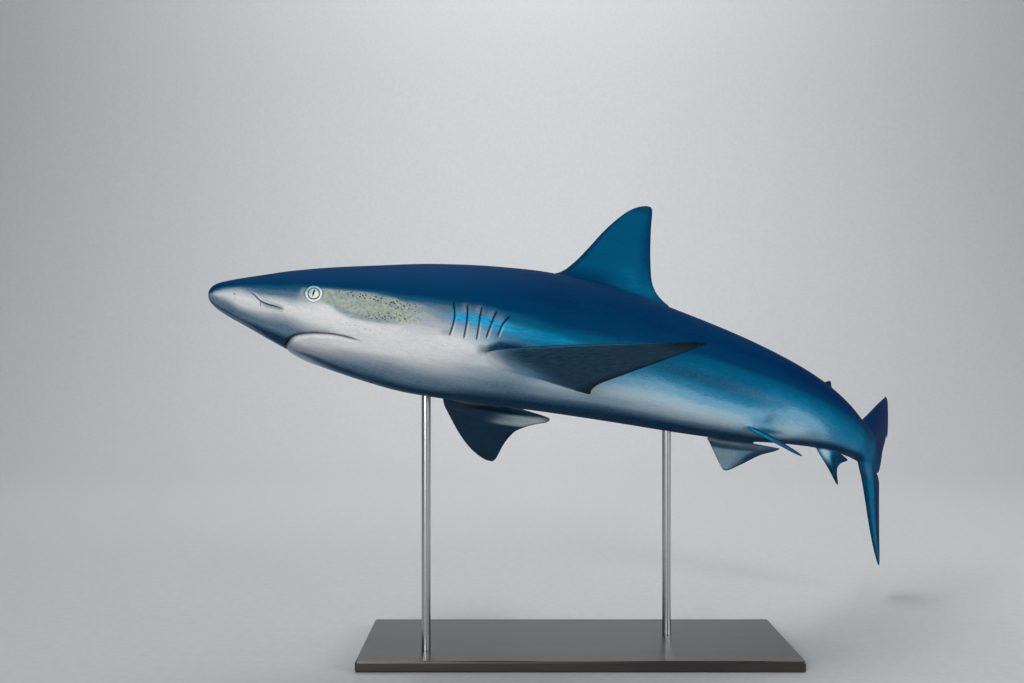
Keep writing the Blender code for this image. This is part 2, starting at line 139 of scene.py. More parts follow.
@dataclass
class Spine:
    """The line that the body follows, and the directions at each step of it."""

    length: float = 2.165
    steps: int = 434               # places along it, 5 mm apart
    snout: Triple = (-0.690, -0.231, 0.720)
    head_turn: float = 17.9        # degrees, as are the next two
    head_lift: float = 9.0
    bank: float = -15.4
    # (distance from the snout, sideways bend, sag), the last two in degrees for each metre
    bends: Table = (
        (0, -6, 0), (0.43, -1.5, 1), (0.76, 14, 4.2), (1.09, 34, 1), (1.36, 88, 0.5), (1.62, 21, 0.3),
        (2.19, 25, 0),
    )
    distance: Array = field(init=False)
    places: Array = field(init=False)
    tailward: Array = field(init=False)
    left: Array = field(init=False)
    up: Array = field(init=False)

    def __post_init__(self) -> None:
        """Walks from the snout to the tail, turning as the bends say."""
        self.distance = np.linspace(0.0, self.length, self.steps)
        knots, bends, sags = zip(*self.bends)
        heading = self.summed(np.radians(smooth_curve(knots, bends)(self.distance)))[:, None]
        dip = self.summed(np.radians(smooth_curve(knots, sags)(self.distance)))[:, None]
        turn = Matrix.Rotation(math.radians(self.head_turn), 3, "Z")
        lift = Matrix.Rotation(math.radians(self.head_lift), 3, "Y")
        roll = Matrix.Rotation(math.radians(self.bank), 3, "X")
        head = np.array(turn @ lift @ roll)
        head_tailward, head_left, head_up = head[:, 0], -head[:, 1], head[:, 2]
        level = np.cos(heading) * head_tailward - np.sin(heading) * head_left
        self.tailward = np.cos(dip) * level - np.sin(dip) * head_up
        places = [self.summed(self.tailward[:, axis]) for axis in range(3)]
        self.places = np.stack(places, axis=1) + self.snout
        self.left = unit(np.cross(self.tailward, head_up))
        self.up = np.cross(self.left, self.tailward)

    def summed(self, rate: Array) -> Array:
        """Adds a rate up along the spine."""
        return np.concatenate([[0.0], np.cumsum((rate[1:] + rate[:-1]) / 2 * np.diff(self.distance))])

    def at(self, values: Array, distance: Array) -> Array:
        """Reads places or directions of the spine at given distances."""
        return np.stack([np.interp(distance, self.distance, values[:, axis]) for axis in range(3)], axis=1)

    def bent(self, points: Array) -> Array:
        """Turns body coordinates into the model's own.

        Args:
            points: rows of (distance from the snout, left, up).

        Returns:
            The same points where the bent body has them.
        """
        points = np.atleast_2d(points)
        distance = points[:, 0]
        beyond = distance - np.clip(distance, 0.0, self.length)
        return (
            self.at(self.places, distance)
            + beyond[:, None] * self.at(self.tailward, distance)
            + points[:, 1:2] * self.at(self.left, distance)
            + points[:, 2:3] * self.at(self.up, distance)
        )

    def straightened(self, points: Array) -> Array:
        """Turns points of the bent body back into body coordinates.

        Args:
            points: rows of (x, y, z) in the model's frame.

        Returns:
            Rows of (distance from the snout, left, up).
        """
        batches = []
        for batch in np.array_split(points, max(1, len(points) // 4000)):
            gaps = ((batch[:, None, :] - self.places[None, ::3, :]) ** 2).sum(axis=2)
            distance = self.distance[::3][gaps.argmin(axis=1)]
            for _ in range(8):
                ahead = (batch - self.at(self.places, distance)) * self.at(self.tailward, distance)
                distance = distance + 0.8 * ahead.sum(axis=1)
            away = batch - self.bent(np.stack([distance, 0 * distance, 0 * distance], axis=1))
            left = (away * self.at(self.left, distance)).sum(axis=1)
            up = (away * self.at(self.up, distance)).sum(axis=1)
            batches.append(np.stack([distance, left, up], axis=1))
        return np.concatenate(batches)


@dataclass
class BodyForm:
    """The body's sections from the snout to the tip of the upper tail lobe."""

    length: float = 2.165
    # (distance from the snout, top, bottom, half width)
    stations: Table = (
        (0, 0, 0, 0), (0.01, 0.016, -0.017, 0.031), (0.036, 0.0266, -0.03, 0.055),
        (0.08, 0.0415, -0.046, 0.076), (0.146, 0.063, -0.0715, 0.101), (0.212, 0.0807, -0.0955, 0.118),
        (0.3, 0.1005, -0.115, 0.133), (0.41, 0.1235, -0.129, 0.144), (0.542, 0.142, -0.131, 0.145),
        (0.652, 0.15, -0.128, 0.141), (0.784, 0.146, -0.1265, 0.132), (0.938, 0.1285, -0.124, 0.117),
        (1.092, 0.1105, -0.116, 0.098), (1.268, 0.087, -0.0915, 0.075), (1.444, 0.0625, -0.066, 0.055),
        (1.576, 0.048, -0.049, 0.042), (1.64, 0.052, -0.044, 0.033), (1.72, 0.093, -0.042, 0.024),
        (1.8, 0.135, -0.034, 0.017), (1.86, 0.164, -0.018, 0.013), (1.9, 0.182, 0.025, 0.011),
        (1.96, 0.207, 0.072, 0.009), (2.03, 0.235, 0.118, 0.007), (2.062, 0.247, 0.148, 0.006),
        (2.085, 0.256, 0.133, 0.005), (2.125, 0.268, 0.178, 0.004), (2.155, 0.274, 0.242, 0.003),
    )
    ease_spread: float = 0.009     # how far the outlines are evened out, as a root of the distance
    ease_end: Pair = (1.56, 1.68)  # the evening fades out between these distances
    tip_round: float = 0.010       # the rounded last bit of the tail
    outlines: list[Curve] = field(init=False)
    widest_level: Curve = field(init=False)
    belly_fullness: Curve = field(init=False)
    blade_edge: Curve = field(init=False)

    def __post_init__(self) -> None:
        """Draws the outlines as curves of the root of the distance, which rounds the snout."""
        distance, *outlines = zip(*self.stations)
        roots = np.sqrt(distance)
        self.outlines = [self.softened(smooth_curve(roots, outline)) for outline in outlines]
        places, levels = (0.0, 0.1, 0.5, 1.6, 1.8, 2.2), (0.50, 0.52, 0.50, 0.50, 0.36, 0.36)
        self.widest_level = smooth_curve(places, levels)
        self.belly_fullness = smooth_curve((0.0, 0.1, 0.4, 1.0, 2.2), (2.3, 2.5, 2.2, 2.0, 2.0))
        self.blade_edge = smooth_curve((0.0, 1.58, 1.85, 2.2), (1.0, 1.0, 1.7, 1.7))

    def softened(self, outline: Curve) -> Curve:
        """Evens out the changes of curvature at the stations, in front of the tail.

        Args:
            outline: a curve of the root of the distance, 0 at the snout.

        Returns:
            The evened curve, of the same root.
        """
        grid = np.linspace(0.0, math.sqrt(self.length), 1600)
        exact = outline(grid)
        margin = 60
        weights = hump(np.arange(-margin, margin + 1) * grid[1], 0.0, self.ease_spread)
        padded = np.concatenate([-exact[margin:0:-1], exact, np.full(margin, exact[-1])])
        even = np.convolve(padded, weights / weights.sum(), mode="valid")
        keep = eased(grid**2, *self.ease_end)
        mixed = even * (1 - keep) + exact * keep
        return lambda roots: np.interp(roots, grid, mixed)

    def section(self, distance: Array) -> tuple[Array, ...]:
        """Gives the top, bottom, half width and the level of the greatest width.

        Args:
            distance: how far from the snout.

        Returns:
            The four, for each distance.
        """
        root = np.sqrt(np.clip(distance, 0.0, self.length))
        top, bottom, width = (outline(root) for outline in self.outlines)
        into_tip = np.clip((distance - self.length + self.tip_round) / self.tip_round, 0.0, 1.0)
        shrink = np.sqrt(np.clip(1 - into_tip**2, 0.0, 1.0))
        core, half = (top + bottom) / 2, (top - bottom) / 2 * shrink
        top, bottom = core + half, core - half
        middle = top - (top - bottom) * self.widest_level(distance)
        return top, bottom, width * shrink, middle

    def surface(self, distance: Array, angle: Array) -> Array:
        """Gives points of the plain body.

        Args:
            distance: how far from the snout.
            angle: in radians, 0 on the left at the greatest width and a quarter turn at the top.

        Returns:
            Rows of body coordinates.
        """
        top, bottom, width, middle = self.section(distance)
        sideways, rise = np.cos(angle), np.sin(angle)
        across = width * np.sign(sideways) * np.abs(sideways) ** self.blade_edge(distance)
        reach = np.where(rise > 0, top - middle, middle - bottom)
        power = np.where(rise > 0, 1.0, 2.0 / self.belly_fullness(distance))
        height = middle + np.sign(rise) * reach * np.abs(rise) ** power
        return np.stack([distance, across, height], axis=1)

    def normals(self, distance: Array, angle: Array) -> Array:
        """Gives the directions out of the plain body, in body coordinates.

        Args:
            distance: how far from the snout.
            angle: in radians, as for surface.

        Returns:
            Rows of unit vectors.
        """
        step = 0.0008
        before = np.maximum(distance - step, 1e-5)
        along = self.surface(distance + step, angle) - self.surface(before, angle)
        round_it = self.surface(distance, angle + 0.01) - self.surface(distance, angle - 0.01)
        return unit(np.cross(round_it, along))

    def lie(self, points: Array) -> tuple[Array, Array]:
        """Says where points lie about the body.

        Args:
            points: rows of body coordinates.

        Returns:
            The angle round the body in degrees, from -90 at the belly to 90 at the back on both
            sides, and the reach: 1 on the plain body's surface and more outside it.
        """
        distance, left, up = points.T
        top, bottom, width, middle = self.section(np.clip(distance, 1e-5, self.length - self.tip_round))
        above = up > middle
        reach = np.where(above, top - middle, middle - bottom)
        rise = np.abs(up - middle) / np.maximum(reach, 1e-6)
        rise = np.where(above, rise, rise ** (self.belly_fullness(distance) / 2))
        across = (np.abs(left) / np.maximum(width, 1e-6)) ** (1 / self.blade_edge(distance))
        angle = np.degrees(np.arctan2(np.where(above, rise, -rise), across))
        return angle, np.hypot(across, rise)

    def at_width(self, distance: float, left: float) -> float:
        """Gives the angle on the body's lower left quarter that is this far to the left."""
        width = float(self.section(np.array([distance]))[2][0])
        return -math.acos(min(1.0, left / width))

    def at_height(self, distance: float, up: float) -> float:
        """Gives the angle on the body's left side at this height.

        Args:
            distance: how far from the snout.
            up: the height.

        Returns:
            The angle in radians.
        """
        top, bottom, _, middle = (float(value[0]) for value in self.section(np.array([distance])))
        if up > middle:
            return math.asin(min(1.0, (up - middle) / (top - middle)))
        fullness = float(self.belly_fullness(np.array([distance]))[0])
        return -math.asin(min(1.0, ((middle - up) / (middle - bottom)) ** (fullness / 2)))


class Side(Enum):
    """The animal's two sides."""

    LEFT = 1
    RIGHT = -1


@dataclass
class FinForm:
    """One fin, as slices out from its root line."""

    name: str
    # (height above the root line, leading edge, trailing edge, thickness)
    stations: Table
    root: Triple = (0.0, 0.0, 0.0)
    chordwise: Triple = (1.0, 0.0, 0.0)
    outwards: Triple = (0.0, 0.0, 1.0)
    tip_lift: float = 0.0
    twist: float = 0.0             # how far the leading edge turns down at the tip, in degrees
    side: Side = Side.LEFT
    slices: int = 60
    side_points: int = 22
    edge: float = 1.2 * MM         # the thickness left at the edges
    thickest: float = 0.28         # the share of the chord in front of the thickest place
    blend: float = 12 * MM         # how far from its root the skin is rounded over
    paint_reach: float = 0.6       # how far from its middle plane its paint goes, in root thicknesses

    def outline(self, share: Array) -> tuple[Array, ...]:
        """Reads the height, both edges and the thickness at shares of the way along the outline.

        The way is measured on the leading and trailing edges, so that slices lie closer together
        where an edge turns.

        Args:
            share: of the way, from 0 to 1.

        Returns:
            The four, for each share.
        """
        table = np.array(self.stations)
        fine = np.linspace(0, len(table) - 1, 40 * len(table))
        heights = np.interp(fine, np.arange(len(table)), table[:, 0])
        lead, trail, thick = (smooth_curve(table[:, 0], table[:, column])(heights) for column in (1, 2, 3))
        way = np.hypot(np.diff(heights), np.diff(lead)) + 0.6 * np.hypot(np.diff(heights), np.diff(trail))
        way = np.concatenate([[0.0], np.cumsum(way)]) / way.sum()
        return tuple(np.interp(share, way, values) for values in (heights, lead, trail, thick))

    def surface(self, share: Array, turn: Array) -> Array:
        """Gives points of the fin.

        Args:
            share: of the way from the root to the tip.
            turn: round the slice, from 0 at the trailing edge over the upper side to 0.5 at the
                leading edge and back under it to 1.

        Returns:
            Rows of body coordinates.
        """
        height, lead, trail, thickness = self.outline(np.clip(share, 0.0, 1.0))
        along = (1 + np.cos(turn * 2 * math.pi)) / 2
        rising = np.sqrt(np.clip(1 - (1 - along / self.thickest) ** 2, 0.0, 1.0))
        falling = 1 - np.clip((along - self.thickest) / (1 - self.thickest), 0.0, 1.0) ** 1.6
        half = np.where(along < self.thickest, rising, falling) * (thickness - self.edge) / 2
        half = half + self.edge / 2 * np.sqrt(np.clip(1 - np.abs(2 * along - 1) ** 24, 0.0, 1.0))
        into_tip = np.clip((share - 0.97) / 0.03, 0.0, 1.0)
        half = half * np.sqrt(np.clip(1 - into_tip**2, 0.0, 1.0))
        chord = lead + (trail - lead) * along
        over = np.where(turn < 0.5, half, -half)
        chordwise, outwards = np.array(self.chordwise), np.array(self.outwards)
        square = np.cross(chordwise, outwards)
        points = (
            np.array(self.root)
            + outwards * height[:, None]
            + chordwise * chord[:, None]
            + square * (self.flex(height, trail - chord) + over)[:, None]
        )
        return points * (1, self.side.value, 1)

    def flex(self, height: Array, before_edge: Array) -> Array:
        """Gives how far the blade's middle plane is bent up.

        Args:
            height: how far out from the root line.
            before_edge: how far in front of the trailing edge.

        Returns:
            The rise, which grows towards the tip.
        """
        out = np.clip(height / self.stations[-1][0], 0.0, 1.0)
        return self.tip_lift * out**2 - np.tan(np.radians(self.twist * out**3)) * before_edge

    def own_places(self, points: Array) -> tuple[Array, Array, Array]:
        """Measures points along the fin's own directions.

        Args:
            points: rows of body coordinates.

        Returns:
            How far out each lies, the share of the way from the leading to the trailing edge, and
            how far above the fin's middle plane.
        """
        chordwise, outwards = np.array(self.chordwise), np.array(self.outwards)
        square = np.cross(chordwise, outwards)
        away = points * (1, self.side.value, 1) - np.array(self.root)
        height = away @ outwards
        table = np.array(self.stations)
        lead, trail = (smooth_curve(table[:, 0], table[:, column])(height) for column in (1, 2))
        chord = away @ chordwise
        share = (chord - lead) / np.maximum(trail - lead, 1e-4)
        return height, share, away @ square - self.flex(height, trail - chord)


def paired_directions(turn: float, dip: float, hang: float) -> dict[str, Triple]:
    """Works out how a pectoral or pelvic fin stands off the body.

    Args:
        turn: how far the root line turns to the left, in degrees.
        dip: how far it dips towards the tail.
        hang: how far the blade hangs below level.

    Returns:
        The fin's chordwise and outward directions, square to each other.
    """
    turn, dip, hang = np.radians((turn, dip, hang))
    chordwise = np.array((math.cos(dip) * math.cos(turn), math.cos(dip) * math.sin(turn), -math.sin(dip)))
    outwards = np.array((0.0, math.cos(hang), -math.sin(hang)))
    outwards = unit(outwards - outwards.dot(chordwise) * chordwise)
    return {"chordwise": tuple(chordwise), "outwards": tuple(outwards)}


# Slices out from the root line: (height, leading edge, trailing edge, thickness), in metres
PECTORAL_LEFT_STATIONS = (
    (-0.05, 0.006, 0.118, 0.034), (0, 0, 0.126, 0.027), (0.004, 0.0003, 0.17, 0.0258),
    (0.01, 0.0008, 0.213, 0.0246), (0.016, 0.0015, 0.223, 0.0236), (0.048, 0.0056, 0.2085, 0.02),
    (0.099, 0.0175, 0.194, 0.0165), (0.165, 0.035, 0.1865, 0.0135), (0.264, 0.065, 0.1795, 0.01),
    (0.363, 0.106, 0.1757, 0.0072), (0.405, 0.131, 0.1745, 0.0055), (0.428, 0.15, 0.1735, 0.004),
    (0.438, 0.162, 0.1715, 0.0025),
)
# The free rear tip of the right fin is spread wider
PECTORAL_RIGHT_STATIONS = (
    (-0.05, 0.006, 0.118, 0.034), (0, 0, 0.126, 0.027), (0.004, 0.0003, 0.17, 0.0258),
    (0.01, 0.0008, 0.219, 0.0246), (0.018, 0.0015, 0.2305, 0.0236), (0.03, 0.003, 0.233, 0.022),
    (0.048, 0.0056, 0.23, 0.02), (0.07, 0.01, 0.215, 0.0182), (0.099, 0.0175, 0.199, 0.0165),
    (0.165, 0.035, 0.1775, 0.0135), (0.264, 0.064, 0.172, 0.01), (0.363, 0.1035, 0.175, 0.0072),
    (0.405, 0.129, 0.1765, 0.0055), (0.428, 0.149, 0.1745, 0.004), (0.438, 0.162, 0.1715, 0.0025),
)
PELVIC_STATIONS = (
    (-0.035, 0.004, 0.108, 0.016), (0, 0.0045, 0.115, 0.012), (0.003, 0.008, 0.183, 0.0105),
    (0.01, 0.0135, 0.1795, 0.01), (0.035, 0.0325, 0.1515, 0.0085), (0.073, 0.0625, 0.1285, 0.006),
    (0.098, 0.085, 0.1115, 0.0045), (0.107, 0.095, 0.1035, 0.003),
)
# The fins on the midline: (height above the spine, leading edge, trailing edge, thickness)
FIRST_DORSAL_STATIONS = (
    (0.095, 0.63, 0.88, 0.034), (0.134, 0.635, 0.886, 0.0265), (0.1375, 0.636, 0.936, 0.0258),
    (0.142, 0.6375, 0.9345, 0.025), (0.15, 0.644, 0.921, 0.0235), (0.158, 0.663, 0.91, 0.0215),
    (0.167, 0.683, 0.901, 0.02), (0.19, 0.708, 0.8895, 0.017), (0.23, 0.739, 0.8842, 0.014),
    (0.275, 0.7705, 0.8815, 0.011), (0.315, 0.8035, 0.881, 0.0085), (0.34, 0.829, 0.882, 0.0065),
    (0.354, 0.851, 0.8815, 0.0045), (0.36, 0.867, 0.878, 0.003),
)
SECOND_DORSAL_STATIONS = (
    (0.04, 1.352, 1.44, 0.012), (0.061, 1.353, 1.452, 0.0095), (0.0635, 1.354, 1.514, 0.009),
    (0.069, 1.362, 1.496, 0.0085), (0.0775, 1.384, 1.45, 0.007), (0.0875, 1.408, 1.441, 0.005),
    (0.097, 1.43, 1.4385, 0.0028),
)
ANAL_STATIONS = (
    (0.045, 1.35, 1.47, 0.015), (0.0625, 1.352, 1.48, 0.012), (0.065, 1.353, 1.542, 0.0115),
    (0.072, 1.358, 1.5275, 0.011), (0.085, 1.3765, 1.4935, 0.01), (0.095, 1.393, 1.4785, 0.009),
    (0.105, 1.411, 1.4695, 0.008), (0.115, 1.4285, 1.469, 0.0067), (0.125, 1.444, 1.4705, 0.0055),
    (0.135, 1.46, 1.474, 0.004), (0.14, 1.468, 1.474, 0.0025),
)
LOWER_LOBE_STATIONS = (
    (0.02, 1.626, 1.8, 0.024), (0.047, 1.634, 1.861, 0.022), (0.06, 1.6475, 1.859, 0.0206),
    (0.075, 1.6615, 1.856, 0.019), (0.12, 1.689, 1.848, 0.015), (0.17, 1.717, 1.8415, 0.0115),
    (0.215, 1.75, 1.8375, 0.0085), (0.235, 1.772, 1.8355, 0.007), (0.25, 1.791, 1.833, 0.0055),
    (0.26, 1.807, 1.829, 0.004), (0.2655, 1.818, 1.824, 0.003),
)


def make_fin_forms() -> list[FinForm]:
    """Lists the nine fins.

    Returns:
        Their forms; the upper tail lobe is the body's own end.
    """
    below = {"outwards": (0.0, 0.0, -1.0)}
    left, right = Side.LEFT, Side.RIGHT
    return [
        FinForm(
            "pectoral_fin_left", PECTORAL_LEFT_STATIONS, (0.501, 0.1275, -0.07), tip_lift=0.03, twist=14,
            side=left, slices=84, side_points=30, blend=0.03, **paired_directions(-10, 10.5, 5),
        ),
        FinForm(
            "pectoral_fin_right", PECTORAL_RIGHT_STATIONS, (0.49, 0.1275, -0.096), side=right,
            slices=84, side_points=30, blend=0.03, paint_reach=1.5, **paired_directions(-10.4, 5, 2),
        ),
        FinForm(
            "pelvic_fin_left", PELVIC_STATIONS, (1.078, 0.042, -0.0865), side=left,
            slices=44, side_points=20, blend=0.01, **paired_directions(-2, 10.5, 30),
        ),
        FinForm(
            "pelvic_fin_right", PELVIC_STATIONS, (1.069, 0.048, -0.112), side=right,
            slices=44, side_points=20, blend=0.008, **paired_directions(-14, -2, 23),
        ),
        FinForm("first_dorsal_fin", FIRST_DORSAL_STATIONS, slices=72, side_points=28, blend=0.016),
        FinForm("second_dorsal_fin", SECOND_DORSAL_STATIONS, slices=40, side_points=18, blend=0.007),
        FinForm("anal_fin", ANAL_STATIONS, slices=44, side_points=18, blend=0.008, **below),
        FinForm("caudal_lower_lobe", LOWER_LOBE_STATIONS, slices=56, side_points=22, blend=0.014, **below),
    ]


# --- Lines and hollows in the skin ---


@dataclass
class SkinLine:
    """A crease or slit: a line on the skin, and what the skin does beside it."""

    points: Array
    depth: float
    half_width: float
    fade: float                    # the share of its length over which each end fades
    rim_height: float = 0.0
    rim_place: float = 3 * MM      # how far from the line its rim is highest
    rim_side: int = 1
    fine: float = 5 * MM           # a line with more is given a wider band of fine mesh

    def measure(self, points: Array, normals: Array) -> tuple[Array, ...]:
        """Measures points against the line.

        Args:
            points: rows of body coordinates.
            normals: the directions out of the skin there.

        Returns:
            Each point's gap to the line, its side (1 or -1) and the share of the way along.
        """
        starts, ends = self.points[:-1], self.points[1:]
        lengths = np.linalg.norm(ends - starts, axis=1)
        before = np.concatenate([[0.0], np.cumsum(lengths)])
        best = np.full(len(points), np.inf)
        side = np.ones(len(points))
        way = np.zeros(len(points))
        for start, end, length, so_far in zip(starts, ends, lengths, before):
            along = (end - start) / length
            share = np.clip((points - start) @ along, 0.0, length)
            away = points - start - share[:, None] * along
            gap = np.linalg.norm(away, axis=1)
            closer = gap < best
            best[closer] = gap[closer]
            way[closer] = (so_far + share[closer]) / before[-1]
            turned = (np.cross(along, away) * normals).sum(axis=1)
            side[closer] = np.where(turned[closer] >= 0, 1, -1)
        return best, side, way

    def strength(self, way: Array) -> Array:
        """Gives how deep the line is along its way, fading at both ends."""
        return eased(way, 0.0, self.fade) * eased(1 - way, 0.0, self.fade)

    def relief(self, points: Array, normals: Array) -> tuple[Array, Array]:
        """Gives how far the skin moves out, and how dark the painted shade in the crease is.

        Args:
            points: rows of body coordinates.
            normals: the directions out of the skin there.

        Returns:
            The two, for each point.
        """
        gap, side, way = self.measure(points, normals)
        strength = self.strength(way)
        slit = np.exp(-((gap / self.half_width) ** 4))
        rim = self.rim_height * hump(gap, self.rim_place, self.rim_place * 0.75) * (side == self.rim_side)
        return strength * (rim - self.depth * slit), strength * np.exp(-((gap / self.half_width) ** 2))


@dataclass
class HeadRelief:
    """Mouth, lips, jaw, eyes, nostrils and gill slits, as moves of the plain body's surface."""

    body: BodyForm
    mouth_front: float = 0.150
    mouth_corner: float = 0.2815
    mouth_half_width: float = 0.101
    mouth_power: float = 2.3
    eye_place: Pair = (0.1782, -0.0055)
    lid_inner: float = 11.2 * MM
    lid_middle: float = 13.5 * MM
    lid_outer: float = 16.0 * MM
    # The upper end, the middle and the lower end of each slit: (distance from the snout, height)
    gill_slits: tuple[Table, ...] = (
        ((0.43, 0.015), (0.435, -0.019), (0.43, -0.0545)),
        ((0.457, 0.015), (0.459, -0.019), (0.458, -0.055)),
        ((0.4855, 0.014), (0.4825, -0.019), (0.4825, -0.054)),
        ((0.5145, 0.0095), (0.506, -0.018), (0.4995, -0.048)),
        ((0.5415, 0.0035), (0.5275, -0.0165), (0.5205, -0.041)),
    )
    # The nostril's crease, as (distance from the snout, height)
    nostril_line: Table = (
        (0.0615, -0.0005), (0.0668, -0.0072), (0.0762, -0.0132), (0.0851, -0.0206), (0.0899, -0.0238),
        (0.1, -0.028), (0.1178, -0.0323), (0.138, -0.0385),
    )
    flap_line: Table = ((0.0893, -0.0236), (0.0899, -0.0284), (0.0912, -0.0335))
    snout_pore: Table = ((0.0405, -0.0112), (0.043, -0.0128), (0.0455, -0.0142))
    snout_slit: Table = ((0.0394, -0.0299), (0.0455, -0.0327), (0.052, -0.0349))
    lines_end: float = 0.57        # every line lies in front of this distance from the snout
    relief_end: float = 0.60       # and all that they move in front of this one
    lines: dict[str, SkinLine] = field(init=False)

    def __post_init__(self) -> None:
        """Lays out every line on both sides."""
        self.lines = {}
        for side in Side:
            word = side.name.lower()
            for number, line in enumerate(self.gill_slits, 1):
                places = self.smoothed(line[::-1])
                self.add(
                    f"gill_slit_{number}_{word}", places, side, -1, depth=3.2 * MM, half_width=1.1 * MM,
                    fade=0.12, rim_height=0.3 * MM, rim_place=3.6 * MM,
                )
            self.add(
                f"nostril_{word}", self.smoothed(self.nostril_line), side, depth=2.2 * MM,
                half_width=0.8 * MM, fade=0.4, rim_height=1.3 * MM, rim_place=4 * MM,
            )
            small_lines = (
                ("nostril_flap", self.smoothed(self.flap_line), 1.4, 0.6, 0.4),
                ("snout_pore", self.snout_pore, 1.0, 0.9, 0.5),
                ("snout_slit", self.snout_slit, 0.8, 1.1, 0.5),
            )
            for name, places, depth, half_width, fade in small_lines:
                shape = {"depth": depth * MM, "half_width": half_width * MM, "fade": fade}
                self.add(f"{name}_{word}", places, side, **shape)
        turn = np.linspace(-math.pi / 2, math.pi / 2, 81)
        power = 2 / self.mouth_power
        back = self.mouth_corner - (self.mouth_corner - self.mouth_front) * np.cos(turn).clip(0) ** power
        left = self.mouth_half_width * np.abs(np.sin(turn)) ** power
        angles = np.array([self.body.at_width(*place) for place in zip(back, left)])
        angles = np.where(turn < 0, -math.pi - angles, angles)
        mouth = self.body.surface(back, angles)
        self.lines["mouth"] = SkinLine(mouth, 6.0 * MM, 1.5 * MM, 0.10, fine=7 * MM)

    def smoothed(self, places: Sequence[Pair]) -> list[Pair]:
        """Puts more points on a line of (distance, height), on a smooth curve through it.

        Args:
            places: the line's points.

        Returns:
            The finer line.
        """
        table = np.array(places)
        steps = np.linspace(0, len(table) - 1, 6 * len(table))
        order = np.arange(len(table))
        return list(zip(*(smooth_curve(order, table[:, column])(steps) for column in (0, 1))))

    def add(self, name: str, places: Sequence[Pair], side: Side, rim_side: int = 1, **shape: float) -> None:
        """Lays a line on one side of the body.

        Args:
            name: what the line is called.
            places: its points, as (distance from the snout, height).
            side: the side of the body.
            rim_side: the side of the line that its rim stands on.
            shape: its depth, half width, fade and rim.
        """
        places = [(distance, self.body.at_height(distance, up)) for distance, up in places]
        distance, angle = (np.array(column) for column in zip(*places))
        points = self.body.surface(distance, angle) * (1, side.value, 1)
        self.lines[name] = SkinLine(points, rim_side=rim_side * side.value, **shape)

    def eye_centre(self, side: Side) -> tuple[Array, Array]:
        """Gives the middle of an eye on the plain body, and the direction out of the body there.

        Args:
            side: the side of the body.

        Returns:
            The place and the direction, in body coordinates.
        """
        distance, up = self.eye_place
        angle = np.array([self.body.at_height(distance, up)])
        distance = np.array([distance])
        mirror = np.array((1, side.value, 1))
        outward = self.body.normals(distance, angle)[0]
        return self.body.surface(distance, angle)[0] * mirror, outward * mirror

    def eye_gap(self, points: Array, side: Side) -> Array:
        """Gives how far points are from the line of sight of an eye.

        Args:
            points: rows of body coordinates.
            side: the side of the body.

        Returns:
            The gap for each point.
        """
        centre, outward = self.eye_centre(side)
        away = points - centre
        along = away @ outward
        far_side = 10 * (along < -30 * MM)
        return np.linalg.norm(away - along[:, None] * outward, axis=1) + far_side

    def nearness(self, points: Array, normals: Array) -> Array:
        """Gives the gap to the nearest line or eye rim, by which the mesh is made finer.

        Args:
            points: rows of body coordinates.
            normals: the directions out of the skin there.

        Returns:
            The gap for each point.
        """
        gaps = [line.measure(points, normals)[0] - (line.fine - 5 * MM) for line in self.lines.values()]
        for side in Side:
            gaps.append(np.abs(self.eye_gap(points, side) - self.lid_middle) - 2 * MM)
        return np.min(gaps, axis=0)

    def moves(self, points: Array, normals: Array) -> tuple[Array, Array]:
        """Works out the relief.

        Args:
            points: rows of body coordinates on the plain body.
            normals: the directions out of it.

        Returns:
            How far each point moves out, and how dark the painted shade is in the crease it lies in, from 0
            to 1.
        """
        out = np.zeros(len(points))
        dark = np.zeros(len(points))
        for name, line in self.lines.items():
            relief = self.mouth_moves if name == "mouth" else line.relief
            move, shade = relief(points, normals)
            out += move
            dark = np.maximum(dark, shade)
        for side in Side:
            gap = self.eye_gap(points, side)
            out += 1.3 * MM * hump(gap, self.lid_middle, 2.3 * MM)
            out -= 1.0 * MM * hump(gap, self.lid_outer + 0.2 * MM, 0.9 * MM)
            out += 1.0 * MM * hump(gap, 0.0, 30 * MM)
            out -= 8.0 * MM * eased(-gap, -self.lid_inner, -self.lid_inner + 1.6 * MM)
            # painted shade in the groove round the lid and in the gap between lid and eyeball
            dark = np.maximum(dark, hump(gap, self.lid_outer + 0.2 * MM, 0.7 * MM) * 0.5)
            dark = np.maximum(dark, eased(-gap, -self.lid_inner - 0.3 * MM, -self.lid_inner + 0.4 * MM))
        return out, dark

    def on_jaw(self, points: Array) -> Array:
        """Says which points lie inside the mouth's arch or behind it, seen from below.

        Args:
            points: rows of body coordinates.

        Returns:
            True for each point on the lower jaw.
        """
        across = np.clip(np.abs(points[:, 1]) / self.mouth_half_width, 0.0, 1.0)
        reach = (1 - across**self.mouth_power) ** (1 / self.mouth_power)
        arch = self.mouth_corner - (self.mouth_corner - self.mouth_front) * reach
        return (points[:, 0] > arch) & (points[:, 0] < self.mouth_corner)

    def mouth_gap(self, front: Array) -> Array:
        """Gives how wide the mouth stands open, from its corners (0) to its front (1)."""
        return smooth_curve((0.0, 0.25, 0.72, 0.88, 1.0), np.array((0.7, 1.7, 2.3, 3.2, 4.8)) * MM)(front)

